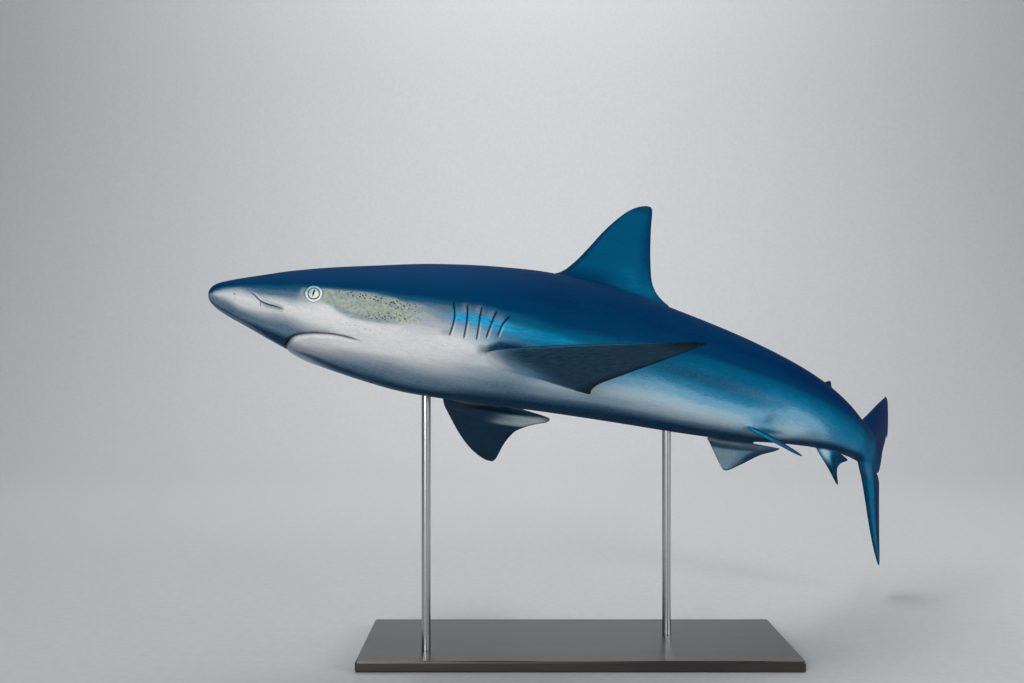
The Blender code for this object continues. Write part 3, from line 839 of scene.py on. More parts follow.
    def mouth_moves(self, points: Array, normals: Array) -> tuple[Array, Array]:
        """Parts the jaws: a deep gap, full lips and a lower jaw that stands out under the snout.

        Args:
            points: rows of body coordinates.
            normals: the directions out of the skin there.

        Returns:
            How far each point moves out, and how dark the painted shade in the mouth's gap is there, from 0
            to 1.
        """
        line = self.lines["mouth"]
        gap, side, way = line.measure(points, normals)
        front = 1 - np.abs(2 * way - 1)
        ends = eased(front, 0.0, 0.16)
        fore = eased(front, 0.30, 0.90)
        half_gap = self.mouth_gap(front) / 2
        below_edge = gap * side
        into_gap = np.abs(below_edge - half_gap) / half_gap
        slit = np.exp(-(into_gap**4))
        past_gap = below_edge - 2 * half_gap
        jaw, snout = past_gap > 0, below_edge < 0
        out = -line.depth * slit * (0.5 + 0.5 * fore)
        out -= jaw * (1.0 + 1.6 * fore) * MM * hump(past_gap, 0.0, 3.0 * MM)
        out += jaw * 1.2 * MM * hump(past_gap, 7 * MM, 5 * MM)
        out += jaw * 3.0 * MM * hump(past_gap, 20 * MM, 16 * MM)
        out -= snout * (0.6 + 1.6 * fore) * MM * hump(below_edge, 0.0, 5 * MM)
        # painted shade in the mouth's gap and along its line
        dark = np.maximum(slit, 0.9 * hump(np.abs(below_edge - half_gap), 0.0, 1.9 * MM))
        return out * ends, ends * dark


# --- Mesh work ---


def activate(piece: Piece) -> None:
    """Selects one piece alone and makes it the active one.

    Args:
        piece: the piece.
    """
    bpy.ops.object.select_all(action="DESELECT")
    piece.select_set(True)
    bpy.context.view_layer.objects.active = piece


def read_places(piece: Piece) -> Array:
    """Reads a mesh's points.

    Args:
        piece: the piece.

    Returns:
        Rows of (x, y, z).
    """
    places = np.empty(3 * len(piece.data.vertices), np.float32)
    piece.data.vertices.foreach_get("co", places)
    return places.reshape(-1, 3).astype(float)


def write_places(piece: Piece, places: Array) -> None:
    """Moves a mesh's points."""
    piece.data.vertices.foreach_set("co", places.astype(np.float32).ravel())
    piece.data.update()


def write_values(piece: Piece, name: str, values: Array) -> None:
    """Stores a number or a vector at each of a mesh's points, for its material to read.

    Args:
        piece: the piece.
        name: the attribute's name.
        values: a number or a row of three for each point.
    """
    kind, key = ("FLOAT", "value") if values.ndim == 1 else ("FLOAT_VECTOR", "vector")
    attribute = piece.data.attributes.new(name, kind, "POINT")
    attribute.data.foreach_set(key, values.astype(np.float32).ravel())


def add_sheet(name: str, along: int, across: int) -> Piece:
    """Adds a flat grid, one unit each way from 0 to 1, to be wrapped into a form.

    Args:
        name: the new piece's name.
        along: its faces along X.
        across: its faces along Y.

    Returns:
        The grid.
    """
    bpy.ops.object.select_all(action="DESELECT")
    bpy.ops.mesh.primitive_grid_add(x_subdivisions=along, y_subdivisions=across, size=1.0)
    sheet = bpy.context.object
    sheet.name = sheet.data.name = name
    write_places(sheet, read_places(sheet) + (0.5, 0.5, 0.0))
    return sheet


def open_up(piece: Piece, kind: str, action: str = "DESELECT") -> None:
    """Opens one piece for editing.

    Args:
        piece: the piece.
        kind: whether VERT, EDGE or FACE are picked.
        action: SELECT or DESELECT, for all of them.
    """
    activate(piece)
    bpy.ops.object.mode_set(mode="EDIT")
    bpy.ops.mesh.select_mode(type=kind)
    bpy.ops.mesh.select_all(action=action)


def face_outwards() -> None:
    """Turns the faces of the open piece outwards and ends the editing."""
    bpy.ops.mesh.select_all(action="SELECT")
    bpy.ops.mesh.normals_make_consistent(inside=False)
    bpy.ops.object.mode_set(mode="OBJECT")


def face_middles(piece: Piece) -> Array:
    """Reads the middles of a mesh's faces.

    Args:
        piece: the piece.

    Returns:
        Rows of (x, y, z).
    """
    middles = np.empty(3 * len(piece.data.polygons))
    piece.data.polygons.foreach_get("center", middles)
    return middles.reshape(-1, 3)


def refine(sheet: Piece, chosen: Array) -> None:
    """Halves the chosen faces of a sheet.

    Args:
        sheet: the grid, still flat.
        chosen: true for each face that is to be halved.
    """
    open_up(sheet, "FACE")
    bpy.ops.object.mode_set(mode="OBJECT")
    sheet.data.polygons.foreach_set("select", chosen)
    bpy.ops.object.mode_set(mode="EDIT")
    bpy.ops.mesh.subdivide(number_cuts=1)
    bpy.ops.object.mode_set(mode="OBJECT")


def close_up(piece: Piece, gap: float) -> None:
    """Welds a wrapped sheet along its seam and at its poles, and turns its faces outwards.

    Args:
        piece: the wrapped sheet.
        gap: how far apart points may be that become one.
    """
    open_up(piece, "VERT", "SELECT")
    bpy.ops.mesh.remove_doubles(threshold=gap)
    face_outwards()


def finish_piece(piece: Piece, material: Material, nodes: Sequence[str]) -> None:
    """Smooths and dresses a piece, hangs it under the root and hides the solids that it takes the place of.

    Args:
        piece: the finished mesh.
        material: its paint.
        nodes: the solids that it takes the place of.
    """
    activate(piece)
    bpy.ops.object.shade_smooth()
    piece.data.materials.append(material)
    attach(piece, "root")
    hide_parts(*nodes)


def apply_modifier(piece: Piece, kind: str, **settings: object) -> None:
    """Adds a modifier with its settings and applies it.

    Args:
        piece: the piece.
        kind: the modifier's type.
        settings: its properties.
    """
    activate(piece)
    modifier = piece.modifiers.new(kind.lower(), kind)
    for key, value in settings.items():
        setattr(modifier, key, value)
    bpy.ops.object.modifier_apply(modifier=modifier.name)


# --- Materials ---


def tint(code: str) -> tuple[float, float, float, float]:
    """Turns an sRGB hex colour into a linear one.

    Args:
        code: such as #102030.

    Returns:
        Red, green, blue and 1.
    """
    channels = [int(code[index : index + 2], 16) / 255 for index in (1, 3, 5)]
    linear = [value / 12.92 if value <= 0.04045 else ((value + 0.055) / 1.055) ** 2.4 for value in channels]
    return (*linear, 1.0)


def set_inputs(node: Node, **links: object) -> Node:
    """Sets or links a node's inputs.

    Args:
        node: the node.
        links: for each input a value, an output, or a node whose first output in use is meant; a
            name of the form in_2 means the input with that number, and any other name is the
            input's own with _ for its spaces.

    Returns:
        The same node.
    """
    for key, value in links.items():
        socket = node.inputs[int(key[3:]) if key.startswith("in_") else key.replace("_", " ")]
        if isinstance(value, Node):
            value = next(output for output in value.outputs if output.enabled)
        if isinstance(value, bpy.types.NodeSocket):
            node.id_data.links.new(value, socket)
        else:
            socket.default_value = value
    return node


def add_node(tree: Tree, kind: str, settings: dict | None = None, **links: object) -> Node:
    """Adds a node, sets it up and links it.

    Args:
        tree: the material's node tree.
        kind: the shader node's type.
        settings: its properties.
        links: its inputs, as in set_inputs.

    Returns:
        The new node.
    """
    node = tree.nodes.new("ShaderNode" + kind)
    for key, value in (settings or {}).items():
        setattr(node, key, value)
    return set_inputs(node, **links)


def set_ramp(node: Node, stops: Stops) -> Node:
    """Sets the stops of a colour ramp, which eases between them.

    Args:
        node: the colour ramp's node.
        stops: (place from 0 to 1, sRGB hex colour) in order.

    Returns:
        The same node.
    """
    ramp = node.color_ramp
    ramp.interpolation = "EASE"
    while len(ramp.elements) < len(stops):
        ramp.elements.new(0.5)
    for element, (place, code) in zip(ramp.elements, stops):
        element.position = place
        element.color = tint(code)
    return node


# The settings that the paints' nodes use most
COLOURS = {"data_type": "RGBA"}
ADD, MULTIPLY = {"operation": "ADD"}, {"operation": "MULTIPLY"}
MULTIPLY_ADD = {"operation": "MULTIPLY_ADD"}
CLAMPED = {"operation": "MULTIPLY_ADD", "use_clamp": True}
CLAMPED_MULTIPLY = {"operation": "MULTIPLY", "use_clamp": True}


def new_material(name: str) -> tuple[Material, Callable[..., Node], Node]:
    """Makes a material with a plain Principled shader.

    Args:
        name: the material's name.

    Returns:
        The material, add_node for its node tree, and its shader.
    """
    material = bpy.data.materials.new(name)
    material.use_nodes = True
    tree = material.node_tree
    return material, partial(add_node, tree), tree.nodes["Principled BSDF"]


class Pattern(Enum):
    """The noises that break up the skin's paint."""

    STREAKS = "streaks"
    CLOUDS = "clouds"
    BLOTCHES = "blotches"
    SPECKLES = "speckles"
    DENTICLES = "denticles"
    RAYS = "rays"


@dataclass(frozen=True)
class PaintLayer:
    """One sprayed layer: the mask it follows, its colours, how patchy it lies and its pattern."""

    mask: str
    low: str
    high: str
    patchiness: float = 0.0
    pattern: Pattern = Pattern.BLOTCHES


@dataclass(frozen=True)
class CastSkinFinish:
    """Airbrushed urethane skin: a cast hide with fine denticles, sprayed in thin coats, matt lacquer."""

    name: str = "airbrushed_urethane_skin"
    roughness: float = 0.60
    specular: float = 0.02          # the lacquer is matt and shows hardly a glint
    ior: float = 1.45
    denticle: float = 1.3 * MM      # real ones are about 0.4 mm, drawn coarser to show
    speckle: float = 2.0 * MM
    streak: float = 3.2 * MM
    blotch: float = 6.0 * MM
    cloud: float = 26.0 * MM
    ray: float = 2.4 * MM           # the fine rays across the fins
    pore_spacing: float = 4.8 * MM
    # From the belly's white up to the back's navy, on the head and behind it
    head: Stops = (
        (0, "#d6d5d5"), (0.12, "#bdc0c3"), (0.28, "#9ba5af"), (0.4, "#748796"), (0.5, "#4f6b80"),
        (0.62, "#18526e"), (0.84, "#00385c"), (1, "#013b6e"),
    )
    flank: Stops = (
        (0, "#bfcfd5"), (0.14, "#9fbecd"), (0.28, "#6aa2be"), (0.42, "#2b789c"), (0.51, "#0a6990"),
        (0.62, "#015578"), (0.84, "#00385f"), (1, "#012955"),
    )
    layers: tuple[PaintLayer, ...] = (
        PaintLayer("cheek", "#788e90", "#a9ae99", 0.6),
        PaintLayer("mauve", "#5b7585", "#86828a", 0.5),
        # painted sheen: the turquoise shine over the gills, above the pelvic fins' roots and along the left
        # pelvic fin's leading edge
        PaintLayer("gleam", "#0085b6", "#1fb0dc", 0.5, Pattern.STREAKS),
        # painted shade under the body and over the upper lip; also a grey veil on the cheek's lower edge,
        # the flank and the right pelvic fin
        PaintLayer("veil", "#4c6a81", "#5e7a8f", 0.25),
        # painted shade: the deep shade along the lower outline, in the gill slits and nostrils, over the
        # pectoral roots, on the right side's underside and on shaded fin faces; also darker edges and rear
        # parts on the dorsal, anal and tail fins
        PaintLayer("deep", "#022a45", "#0a3a56", 0.25),
        # painted shade: behind the nostrils, above the mouth, over the pectoral roots and at the pelvic
        # fins' roots; also a greyer band along the flank
        PaintLayer("shade", "#16364c", "#2b4a60", 0.3),
        # the pectoral fin's dusky underside, darkened further by painted shade
        PaintLayer("slate", "#0d3248", "#2c4c61", 0, Pattern.RAYS),
        PaintLayer("pale", "#b4cdd4", "#d6e6ea", 0.3),
        PaintLayer("lip", "#c9b6b6", "#ddd0ce"),
        # painted highlights: on the rims of the gill slits and nostrils, and along the lower lip
        PaintLayer("edge", "#dfe6ea", "#f0f2f2"),
        PaintLayer("lid", "#c3d9d6", "#e8efea"),
        PaintLayer("lid_top", "#3f9dbd", "#7cc4da"),
        # dusky fin tips and edges; also painted shade in the mouth's front corner and along the right
        # pectoral fin's root
        PaintLayer("dusk", "#02101d", "#0a2234"),
    )
    pore: str = "#1c2a33"
    # painted shade in the gill slits, the mouth's gap, the nostrils and the grooves round the eyes
    crease: str = "#06101a"

    def build(self) -> Material:
        """Makes the material, which reads the marks stored in the skin's mesh.

        Returns:
            The material.
        """
        material, add, shader = new_material(self.name)
        names = ("tone", "rear", "pores", "crease", *(layer.mask for layer in self.layers))
        masks = {name: add("Attribute", {"attribute_name": name}).outputs["Fac"] for name in names}
        straight = add("Attribute", {"attribute_name": "straight"}).outputs["Vector"]
        blade = add("Attribute", {"attribute_name": "blade"}).outputs["Vector"]
        long_way = add("Mapping", Vector=straight, Scale=(0.2, 1.0, 1.0))
        sources = {
            Pattern.STREAKS: (long_way, self.streak, 3.0),
            Pattern.CLOUDS: (long_way, self.cloud, 3.0),
            Pattern.BLOTCHES: (straight, self.blotch, 4.0),
            Pattern.SPECKLES: (straight, self.speckle, 2.0),
            Pattern.DENTICLES: (straight, self.denticle, 1.0),
            Pattern.RAYS: (blade, self.ray, 3.0),
        }
        noises = {
            pattern: add("TexNoise", Vector=place, Scale=1 / size, Detail=detail)
            for pattern, (place, size, detail) in sources.items()
        }

        tone = masks["tone"]
        for pattern, amount in ((Pattern.STREAKS, 0.12), (Pattern.CLOUDS, 0.12), (Pattern.SPECKLES, 0.14)):
            part = add("Math", MULTIPLY_ADD, in_0=noises[pattern], in_1=amount, in_2=-amount / 2)
            tone = add("Math", ADD, in_0=tone, in_1=part)
        head = set_ramp(add("ValToRGB", Fac=tone), self.head)
        flank = set_ramp(add("ValToRGB", Fac=tone), self.flank)
        colour = add("Mix", COLOURS, in_0=masks["rear"], in_6=head, in_7=flank)

        for layer in self.layers:
            mask = masks[layer.mask]
            contrast = add("Math", CLAMPED, in_0=noises[layer.pattern], in_1=3.0, in_2=-1.0)
            paint = add("Mix", COLOURS, in_0=contrast, in_6=tint(layer.low), in_7=tint(layer.high))
            if layer.patchiness:
                amount = layer.patchiness
                clouds = noises[Pattern.CLOUDS]
                patches = add("Math", MULTIPLY_ADD, in_0=clouds, in_1=amount, in_2=-amount / 2)
                patches = add("Math", ADD, in_0=patches, in_1=mask)
                reach = add("Math", CLAMPED_MULTIPLY, in_0=mask, in_1=3.0)
                mask = add("Math", CLAMPED_MULTIPLY, in_0=patches, in_1=reach)
            colour = add("Mix", COLOURS, in_0=mask, in_6=colour, in_7=paint)

        radius = add("Math", MULTIPLY, in_0=masks["pores"], in_1=0.40)
        cells = add("TexVoronoi", Vector=straight, Scale=1 / self.pore_spacing, Randomness=0.95)
        pit = add("Math", {"operation": "LESS_THAN"}, in_0=cells, in_1=radius)
        pit = add("Math", MULTIPLY, in_0=pit, in_1=0.9)
        colour = add("Mix", COLOURS, in_0=pit, in_6=colour, in_7=tint(self.pore))
        colour = add("Mix", COLOURS, in_0=masks["crease"], in_6=colour, in_7=tint(self.crease))

        streaks, least = noises[Pattern.STREAKS], self.roughness - 0.05
        rough = add("Math", MULTIPLY_ADD, in_0=streaks, in_1=0.1, in_2=least)
        grain = add("Math", MULTIPLY_ADD, in_0=streaks, in_1=0.7, in_2=noises[Pattern.DENTICLES])
        grain = add("Math", MULTIPLY_ADD, in_0=noises[Pattern.RAYS], in_1=0.3, in_2=grain)
        bump = add("Bump", Strength=0.22, Distance=0.5 * MM, Height=grain)
        set_inputs(shader, Base_Color=colour, Roughness=rough, IOR=self.ior, Normal=bump)
        set_inputs(shader, Specular_IOR_Level=self.specular)
        return material


@dataclass(frozen=True)
class GlassEyeFinish:
    """Blown glass eye: painted iris under clear glass, wet-looking, with a black slit pupil."""

    name: str = "blown_glass_eye"
    iris_radius: float = 9.5 * MM
    iris_edge: float = 0.9 * MM
    cloud: float = 6.0 * MM
    pupil_half_width: float = 1.75 * MM
    pupil_half_height: float = 7.6 * MM
    cream: str = "#e4e3d4"
    # painted reflection of blue light from above, over the iris's upper part
    blue: str = "#6fbcd8"
    tan: str = "#b3a5a4"
    rim: str = "#101b24"
    pupil: str = "#010204"

    def build(self) -> Material:
        """Makes the material, which reads how far each point is from the line of sight.

        Returns:
            The material.
        """
        material, add, shader = new_material(self.name)
        place = add("Attribute", {"attribute_name": "eye_place"}).outputs["Vector"]
        parts = add("SeparateXYZ", Vector=place)
        across, up = parts.outputs["X"], parts.outputs["Y"]
        flat = add("CombineXYZ", X=across, Y=up)
        radius = add("VectorMath", {"operation": "LENGTH"}, in_0=flat)
        clouds = add("TexNoise", Vector=place, Scale=1 / self.cloud, Detail=3.0)

        # painted reflection of blue light from above, on the iris's upper part
        height = add("Math", MULTIPLY_ADD, in_0=up, in_1=55.0, in_2=clouds)
        sky = add("Math", CLAMPED, in_0=height, in_1=2.6, in_2=-1.35)
        colour = add("Mix", COLOURS, in_0=sky, in_6=tint(self.cream), in_7=tint(self.blue))
        side = add("Math", MULTIPLY_ADD, in_0=across, in_1=45.0, in_2=clouds)
        shade = add("Math", CLAMPED, in_0=side, in_1=2.0, in_2=-1.15)
        colour = add("Mix", COLOURS, in_0=shade, in_6=colour, in_7=tint(self.tan))
        sharpness = 1 / self.iris_edge
        middle = 0.5 - self.iris_radius * sharpness
        edge = add("Math", CLAMPED, in_0=radius, in_1=sharpness, in_2=middle)
        colour = add("Mix", COLOURS, in_0=edge, in_6=colour, in_7=tint(self.rim))

        squeeze = (1 / self.pupil_half_width, 1 / self.pupil_half_height, 0.0)
        slit = add("VectorMath", MULTIPLY, in_0=flat, in_1=squeeze)
        slit = add("VectorMath", {"operation": "LENGTH"}, in_0=slit)
        pupil = add("Math", CLAMPED, in_0=slit, in_1=-4.0, in_2=4.5)
        colour = add("Mix", COLOURS, in_0=pupil, in_6=colour, in_7=tint(self.pupil))
        set_inputs(
            shader, Base_Color=colour, Roughness=0.25, IOR=1.45, Specular_IOR_Level=0.15, Coat_Weight=0.3,
            Coat_Roughness=0.02,
        )
        return material


@dataclass(frozen=True)
class StainedOakFinish:
    """Dark-stained oak: planed along the board, open pores, under a satin lacquer."""

    name: str = "stained_oak"
    dark: str = "#15110f"
    light: str = "#2e2621"
    grain_width: float = 2.5 * MM

    def build(self) -> Material:
        """Makes the material, its grain along the base's length.

        Returns:
            The material.
        """
        material, add, shader = new_material(self.name)
        place = add("TexCoord").outputs["Object"]
        fibres = add("Mapping", Vector=place, Scale=(0.035, 1.0, 1.0))
        scale = 1 / self.grain_width
        grain = add("TexNoise", Vector=fibres, Scale=scale, Detail=5.0, Distortion=0.6)
        rings = add("TexNoise", Vector=fibres, Scale=scale / 9, Detail=2.0, Distortion=1.5)
        both = add("Math", MULTIPLY_ADD, in_0=rings, in_1=0.8, in_2=-0.15)
        both = add("Math", MULTIPLY_ADD, in_0=grain, in_1=0.6, in_2=both)
        ramp = set_ramp(add("ValToRGB", Fac=both), ((0.25, self.dark), (0.8, self.light)))
        bump = add("Bump", Strength=0.2, Distance=0.2 * MM, Height=grain)
        set_inputs(shader, Base_Color=ramp, Normal=bump, Roughness=0.38)
        set_inputs(shader, Coat_Weight=0.3, Coat_Roughness=0.25)
        return material


@dataclass(frozen=True)
class BrushedSteelFinish:
    """Brushed stainless steel rod: turned and brushed round, so its shine runs along the rod."""

    name: str = "brushed_steel"
    dark: str = "#b2b4b7"
    light: str = "#bcbec1"
    line_spacing: float = 0.8 * MM  # brushed lines are finer, drawn coarser to show

    def build(self) -> Material:
        """Makes the material, its fine lines running round the rods.

        Returns:
            The material.
        """
        material, add, shader = new_material(self.name)
        place = add("TexCoord").outputs["Object"]
        lines = add("Mapping", Vector=place, Scale=(0.04, 0.04, 1.0))
        noise = add("TexNoise", Vector=lines, Scale=1 / self.line_spacing, Detail=3.0)
        ramp = set_ramp(add("ValToRGB", Fac=noise), ((0.3, self.dark), (0.7, self.light)))
        bump = add("Bump", Strength=0.05, Distance=0.02 * MM, Height=noise)
        set_inputs(shader, Base_Color=ramp, Normal=bump, Metallic=1.0, Roughness=0.28)
        return material


@dataclass(frozen=True)
class StudioPaintFinish:
    """Matt emulsion on the studio's floor and wall, rolled on, with hardly any variation."""

    name: str = "matt_studio_paint"
    low: str = "#c9cbcd"
    high: str = "#cdcfd1"
    mottle: float = 20 * MM

    def build(self) -> Material:
        """Makes the material.

        Returns:
            The material.
        """
        material, add, shader = new_material(self.name)
        place = add("TexCoord").outputs["Object"]
        noise = add("TexNoise", Vector=place, Scale=1 / self.mottle, Detail=2.0)
        ramp = set_ramp(add("ValToRGB", Fac=noise), ((0.3, self.low), (0.7, self.high)))
        set_inputs(shader, Base_Color=ramp, Roughness=0.8, Specular_IOR_Level=0.2)
        return material


# --- The pieces ---


@dataclass
class SharkSkin:
    """The animal's whole skin as one closed piece, with its markings."""

    spine: Spine
    body: BodyForm
    relief: HeadRelief
    fins: list[FinForm]
    rings: int = 262
    round_points: int = 96
    fine_to: float = 0.56          # the head and gills have closer rings up to here
    fine_ring: float = 5.5 * MM
    # The faces are halved three times: (how near the lines, how near the fins' roots)
    finer_within: Table = ((0.020, 0.036), (0.009, 0.0), (0.0042, 0.0))
    weld: float = 0.05 * MM
    blend_passes: int = 14
    nodes: tuple[str, ...] = (
        "head", "lower_jaw", "gill_region", "trunk_front", "trunk_rear", "tail_stock",
        "caudal_upper_lobe", "caudal_lower_lobe", "first_dorsal_fin", "second_dorsal_fin",
        "anal_fin", "pectoral_fin_left", "pectoral_fin_right", "pelvic_fin_left", "pelvic_fin_right",
    )

    def ring_distance(self, share: Array) -> Array:
        """Spreads the rings along the body: round the snout, close at the head, wider behind.

        Args:
            share: of the flat sheet's length.

        Returns:
            The distance from the snout.
        """
        fine_rings = self.fine_to / self.fine_ring
        count = share * self.rings
        snout = 6.0
        near = (count / snout) ** 2 * snout * self.fine_ring / 2
        head = (count - snout / 2) * self.fine_ring
        start = (fine_rings - snout / 2) * self.fine_ring
        rest = start + (count - fine_rings) / (self.rings - fine_rings) * (self.body.length - start)
        return np.where(count < snout, near, np.where(count < fine_rings, head, rest))

    def on_body(self, flat: Array) -> tuple[Array, Array]:
        """Reads the distance and the angle from a place on the flat sheet; its seam is on the back."""
        return self.ring_distance(flat[:, 0]), math.pi / 2 - flat[:, 1] * 2 * math.pi

    def near_detail(self, flat: Array, reach: float, root_reach: float) -> Array:
        """Picks the faces of the flat sheet that lie near a line or a fin's root.

        Args:
            flat: the middles of the faces.
            reach: how near a line or an eye's rim.
            root_reach: how near a fin's root, or 0 to leave the roots out.

        Returns:
            True for each face that is picked.
        """
        distance, angle = self.on_body(flat)
        head = distance < self.relief.lines_end
        where = distance[head], angle[head]
        chosen = np.zeros(len(distance), bool)
        chosen[head] = self.relief.nearness(self.body.surface(*where), self.body.normals(*where)) < reach
        if root_reach:
            chosen |= self.root_gap(self.body.surface(distance, angle)) < root_reach
        return chosen

    def build_body(self) -> Piece:
        """Wraps a sheet into the body, finer where the head has detail.

        Returns:
            The body without its fins.
        """
        sheet = add_sheet("shark_skin", self.rings, self.round_points)
        for reach, root_reach in self.finer_within:
            refine(sheet, self.near_detail(face_middles(sheet), reach, root_reach))
        distance, angle = self.on_body(read_places(sheet))
        points = self.body.surface(distance, angle)
        normals = self.body.normals(distance, angle)
        points += normals * self.other_moves(points, angle)[:, None]
        head = distance < self.relief.relief_end
        out, dark = self.relief.moves(points[head], normals[head])
        points[head] += normals[head] * out[:, None]
        # the crease mark is painted shade in the slits, gaps and grooves
        crease = np.zeros(len(points))
        crease[head] = dark
        write_places(sheet, self.spine.bent(points))
        write_values(sheet, "crease", crease)
        close_up(sheet, self.weld)
        return sheet

    def root_gap(self, points: Array) -> Array:
        """Gives how far points are from the nearest fin's root line.

        Args:
            points: rows of body coordinates.

        Returns:
            The gap for each point.
        """
        gaps = []
        for fin in self.fins:
            height, lead, trail, _ = fin.stations[1]
            start = np.array(fin.root) + np.array(fin.outwards) * height + np.array(fin.chordwise) * lead
            start = start * (1, fin.side.value, 1)
            chordwise = np.array(fin.chordwise) * (1, fin.side.value, 1)
            away = points - start
            share = np.clip(away @ chordwise, 0.0, trail - lead)
            gaps.append(np.linalg.norm(away - share[:, None] * chordwise, axis=1))
        return np.min(gaps, axis=0)

    def other_moves(self, points: Array, angle: Array) -> Array:
        """Adds the ridge between the dorsal fins, the pits before the tail and the lateral line.

        Args:
            points: rows of body coordinates.
            angle: round the body, in radians.

        Returns:
            How far each point moves out.
        """
        distance = points[:, 0]
        rise = np.sin(angle)
        across = np.abs(points[:, 1])
        ridge = 1.8 * MM * hump(across, 0.0, 6 * MM) * (rise > 0)
        ridge = ridge * eased(distance, 0.93, 0.97) * eased(-distance, -1.36, -1.32)
        pits = 3.6 * MM * eased(rise, 0.80, 0.98) + 2.0 * MM * eased(-rise, 0.80, 0.98)
        pits = hump(distance, 1.603, 0.010) * pits
        line_angle = np.radians(smooth_curve((0.0, 0.3, 0.8, 1.6, 2.2), (20, 20, 12, 4, 4))(distance))
        lateral = 0.35 * MM * hump(np.arcsin(np.clip(rise, -1, 1)), line_angle, 0.02)
        lateral = lateral * eased(distance, 0.30, 0.40) * eased(-distance, -1.70, -1.60)
        return ridge - pits - lateral

    def build_fin(self, fin: FinForm) -> Piece:
        """Wraps a sheet into one fin.

        Args:
            fin: its form.

        Returns:
            The closed fin.
        """
        sheet = add_sheet(fin.name + "_sheet", fin.slices, 2 * fin.side_points)
        flat = read_places(sheet)
        write_places(sheet, self.spine.bent(fin.surface(flat[:, 0], flat[:, 1])))
        close_up(sheet, self.weld)
        open_up(sheet, "EDGE")
        bpy.ops.mesh.select_non_manifold()
        bpy.ops.mesh.edge_face_add()
        face_outwards()
        return sheet

    def join_fins(self, skin: Piece) -> None:
        """Unites the fins with the body.

        Args:
            skin: the body, changed here.
        """
        marker = bpy.data.materials.new("fin_marker")
        skin.data.materials.append(bpy.data.materials.new("body_marker"))
        for fin in self.fins:
            blade = self.build_fin(fin)
            blade.data.materials.append(marker)
            settings = {"operation": "UNION", "solver": "EXACT", "material_mode": "TRANSFER"}
            apply_modifier(skin, "BOOLEAN", object=blade, **settings)
            bpy.data.objects.remove(blade)
            LOG.info("%s joined, %d faces", fin.name, len(skin.data.polygons))

    def seam_places(self, skin: Piece) -> Array:
        """Finds the points where the body's faces meet the fins'.

        Args:
            skin: the piece.

        Returns:
            Rows of (x, y, z).
        """
        mesh = skin.data
        is_fin = np.array([material.name.startswith("fin") for material in mesh.materials])
        groups = np.zeros((len(mesh.vertices), 2), bool)
        for face in mesh.polygons:
            groups[list(face.vertices), int(is_fin[face.material_index])] = True
        return read_places(skin)[groups.all(axis=1)]

    def round_seams(self, skin: Piece) -> None:
        """Smooths the skin over where the fins grow out of the body.

        Args:
            skin: the piece.
        """
        seam = self.seam_places(skin)
        tree = KDTree(len(seam))
        for index, place in enumerate(seam):
            tree.insert(place, index)
        tree.balance()
        group = skin.vertex_groups.new(name="fin_roots")
        straight = self.spine.straightened(read_places(skin))
        reach = np.full(len(straight), 10 * MM)
        for fin in self.fins:
            # each fin's own reach holds a little in front of its root and behind it, on its side
            start, end = fin.surface(np.array([0.0, 0.5]), np.array([0.5, 0.0]))[:, 0]
            near = (straight[:, 0] > start - 0.03) & (straight[:, 0] < end + 0.06)
            side = fin.surface(np.array([0.5]), np.array([0.5]))[0, 2]
            above = straight[:, 2] > 0
            reach[near & (above == (side > 0))] = fin.blend
        for vertex in skin.data.vertices:
            gap = tree.find(vertex.co)[2]
            if gap < reach[vertex.index]:
                group.add([vertex.index], 1 - gap / reach[vertex.index], "REPLACE")
        settings = {"vertex_group": group.name, "factor": 0.7, "iterations": self.blend_passes}
        apply_modifier(skin, "SMOOTH", **settings)
        skin.vertex_groups.clear()

    def build(self, finish: CastSkinFinish) -> Piece:
        """Builds and dresses the skin.

        Args:
            finish: its paint.

        Returns:
            The skin.
        """
        skin = self.build_body()
        LOG.info("body wrapped, %d faces", len(skin.data.polygons))
        self.join_fins(skin)
        self.round_seams(skin)
        straight = self.spine.straightened(read_places(skin))
        Markings(self.body, self.relief, self.fins).write(skin, straight)
        skin.data.polygons.foreach_set("material_index", np.zeros(len(skin.data.polygons), np.int32))
        skin.data.materials.clear()
        finish_piece(skin, finish.build(), self.nodes)
        return skin


class Face(Enum):
    """The sides of a fin: up or to the left, and down or to the right."""

    UPPER = 1
    UNDER = -1


@dataclass(frozen=True)
class FinPatch:
    """A soft patch of one mark on a fin, in shares of the fin's span and chord.

    The limits -1 and 2 lie past the fin's edges, so that a patch with them is open there.
    """

    mark: str
    value: float
    out: Pair = (-1.0, 2.0)
    back: Pair = (-1.0, 2.0)
    strength: float = 1.0
    face: Face | None = None
    softness: Pair = (0.08, 0.06)


@dataclass(frozen=True)
class BodyPatch:
    """A soft round patch of one mark on the body, on both sides unless one is named."""

    mark: str
    value: float
    middle: Pair
    spread: Pair
    strength: float = 1.0
    side: Side | None = None


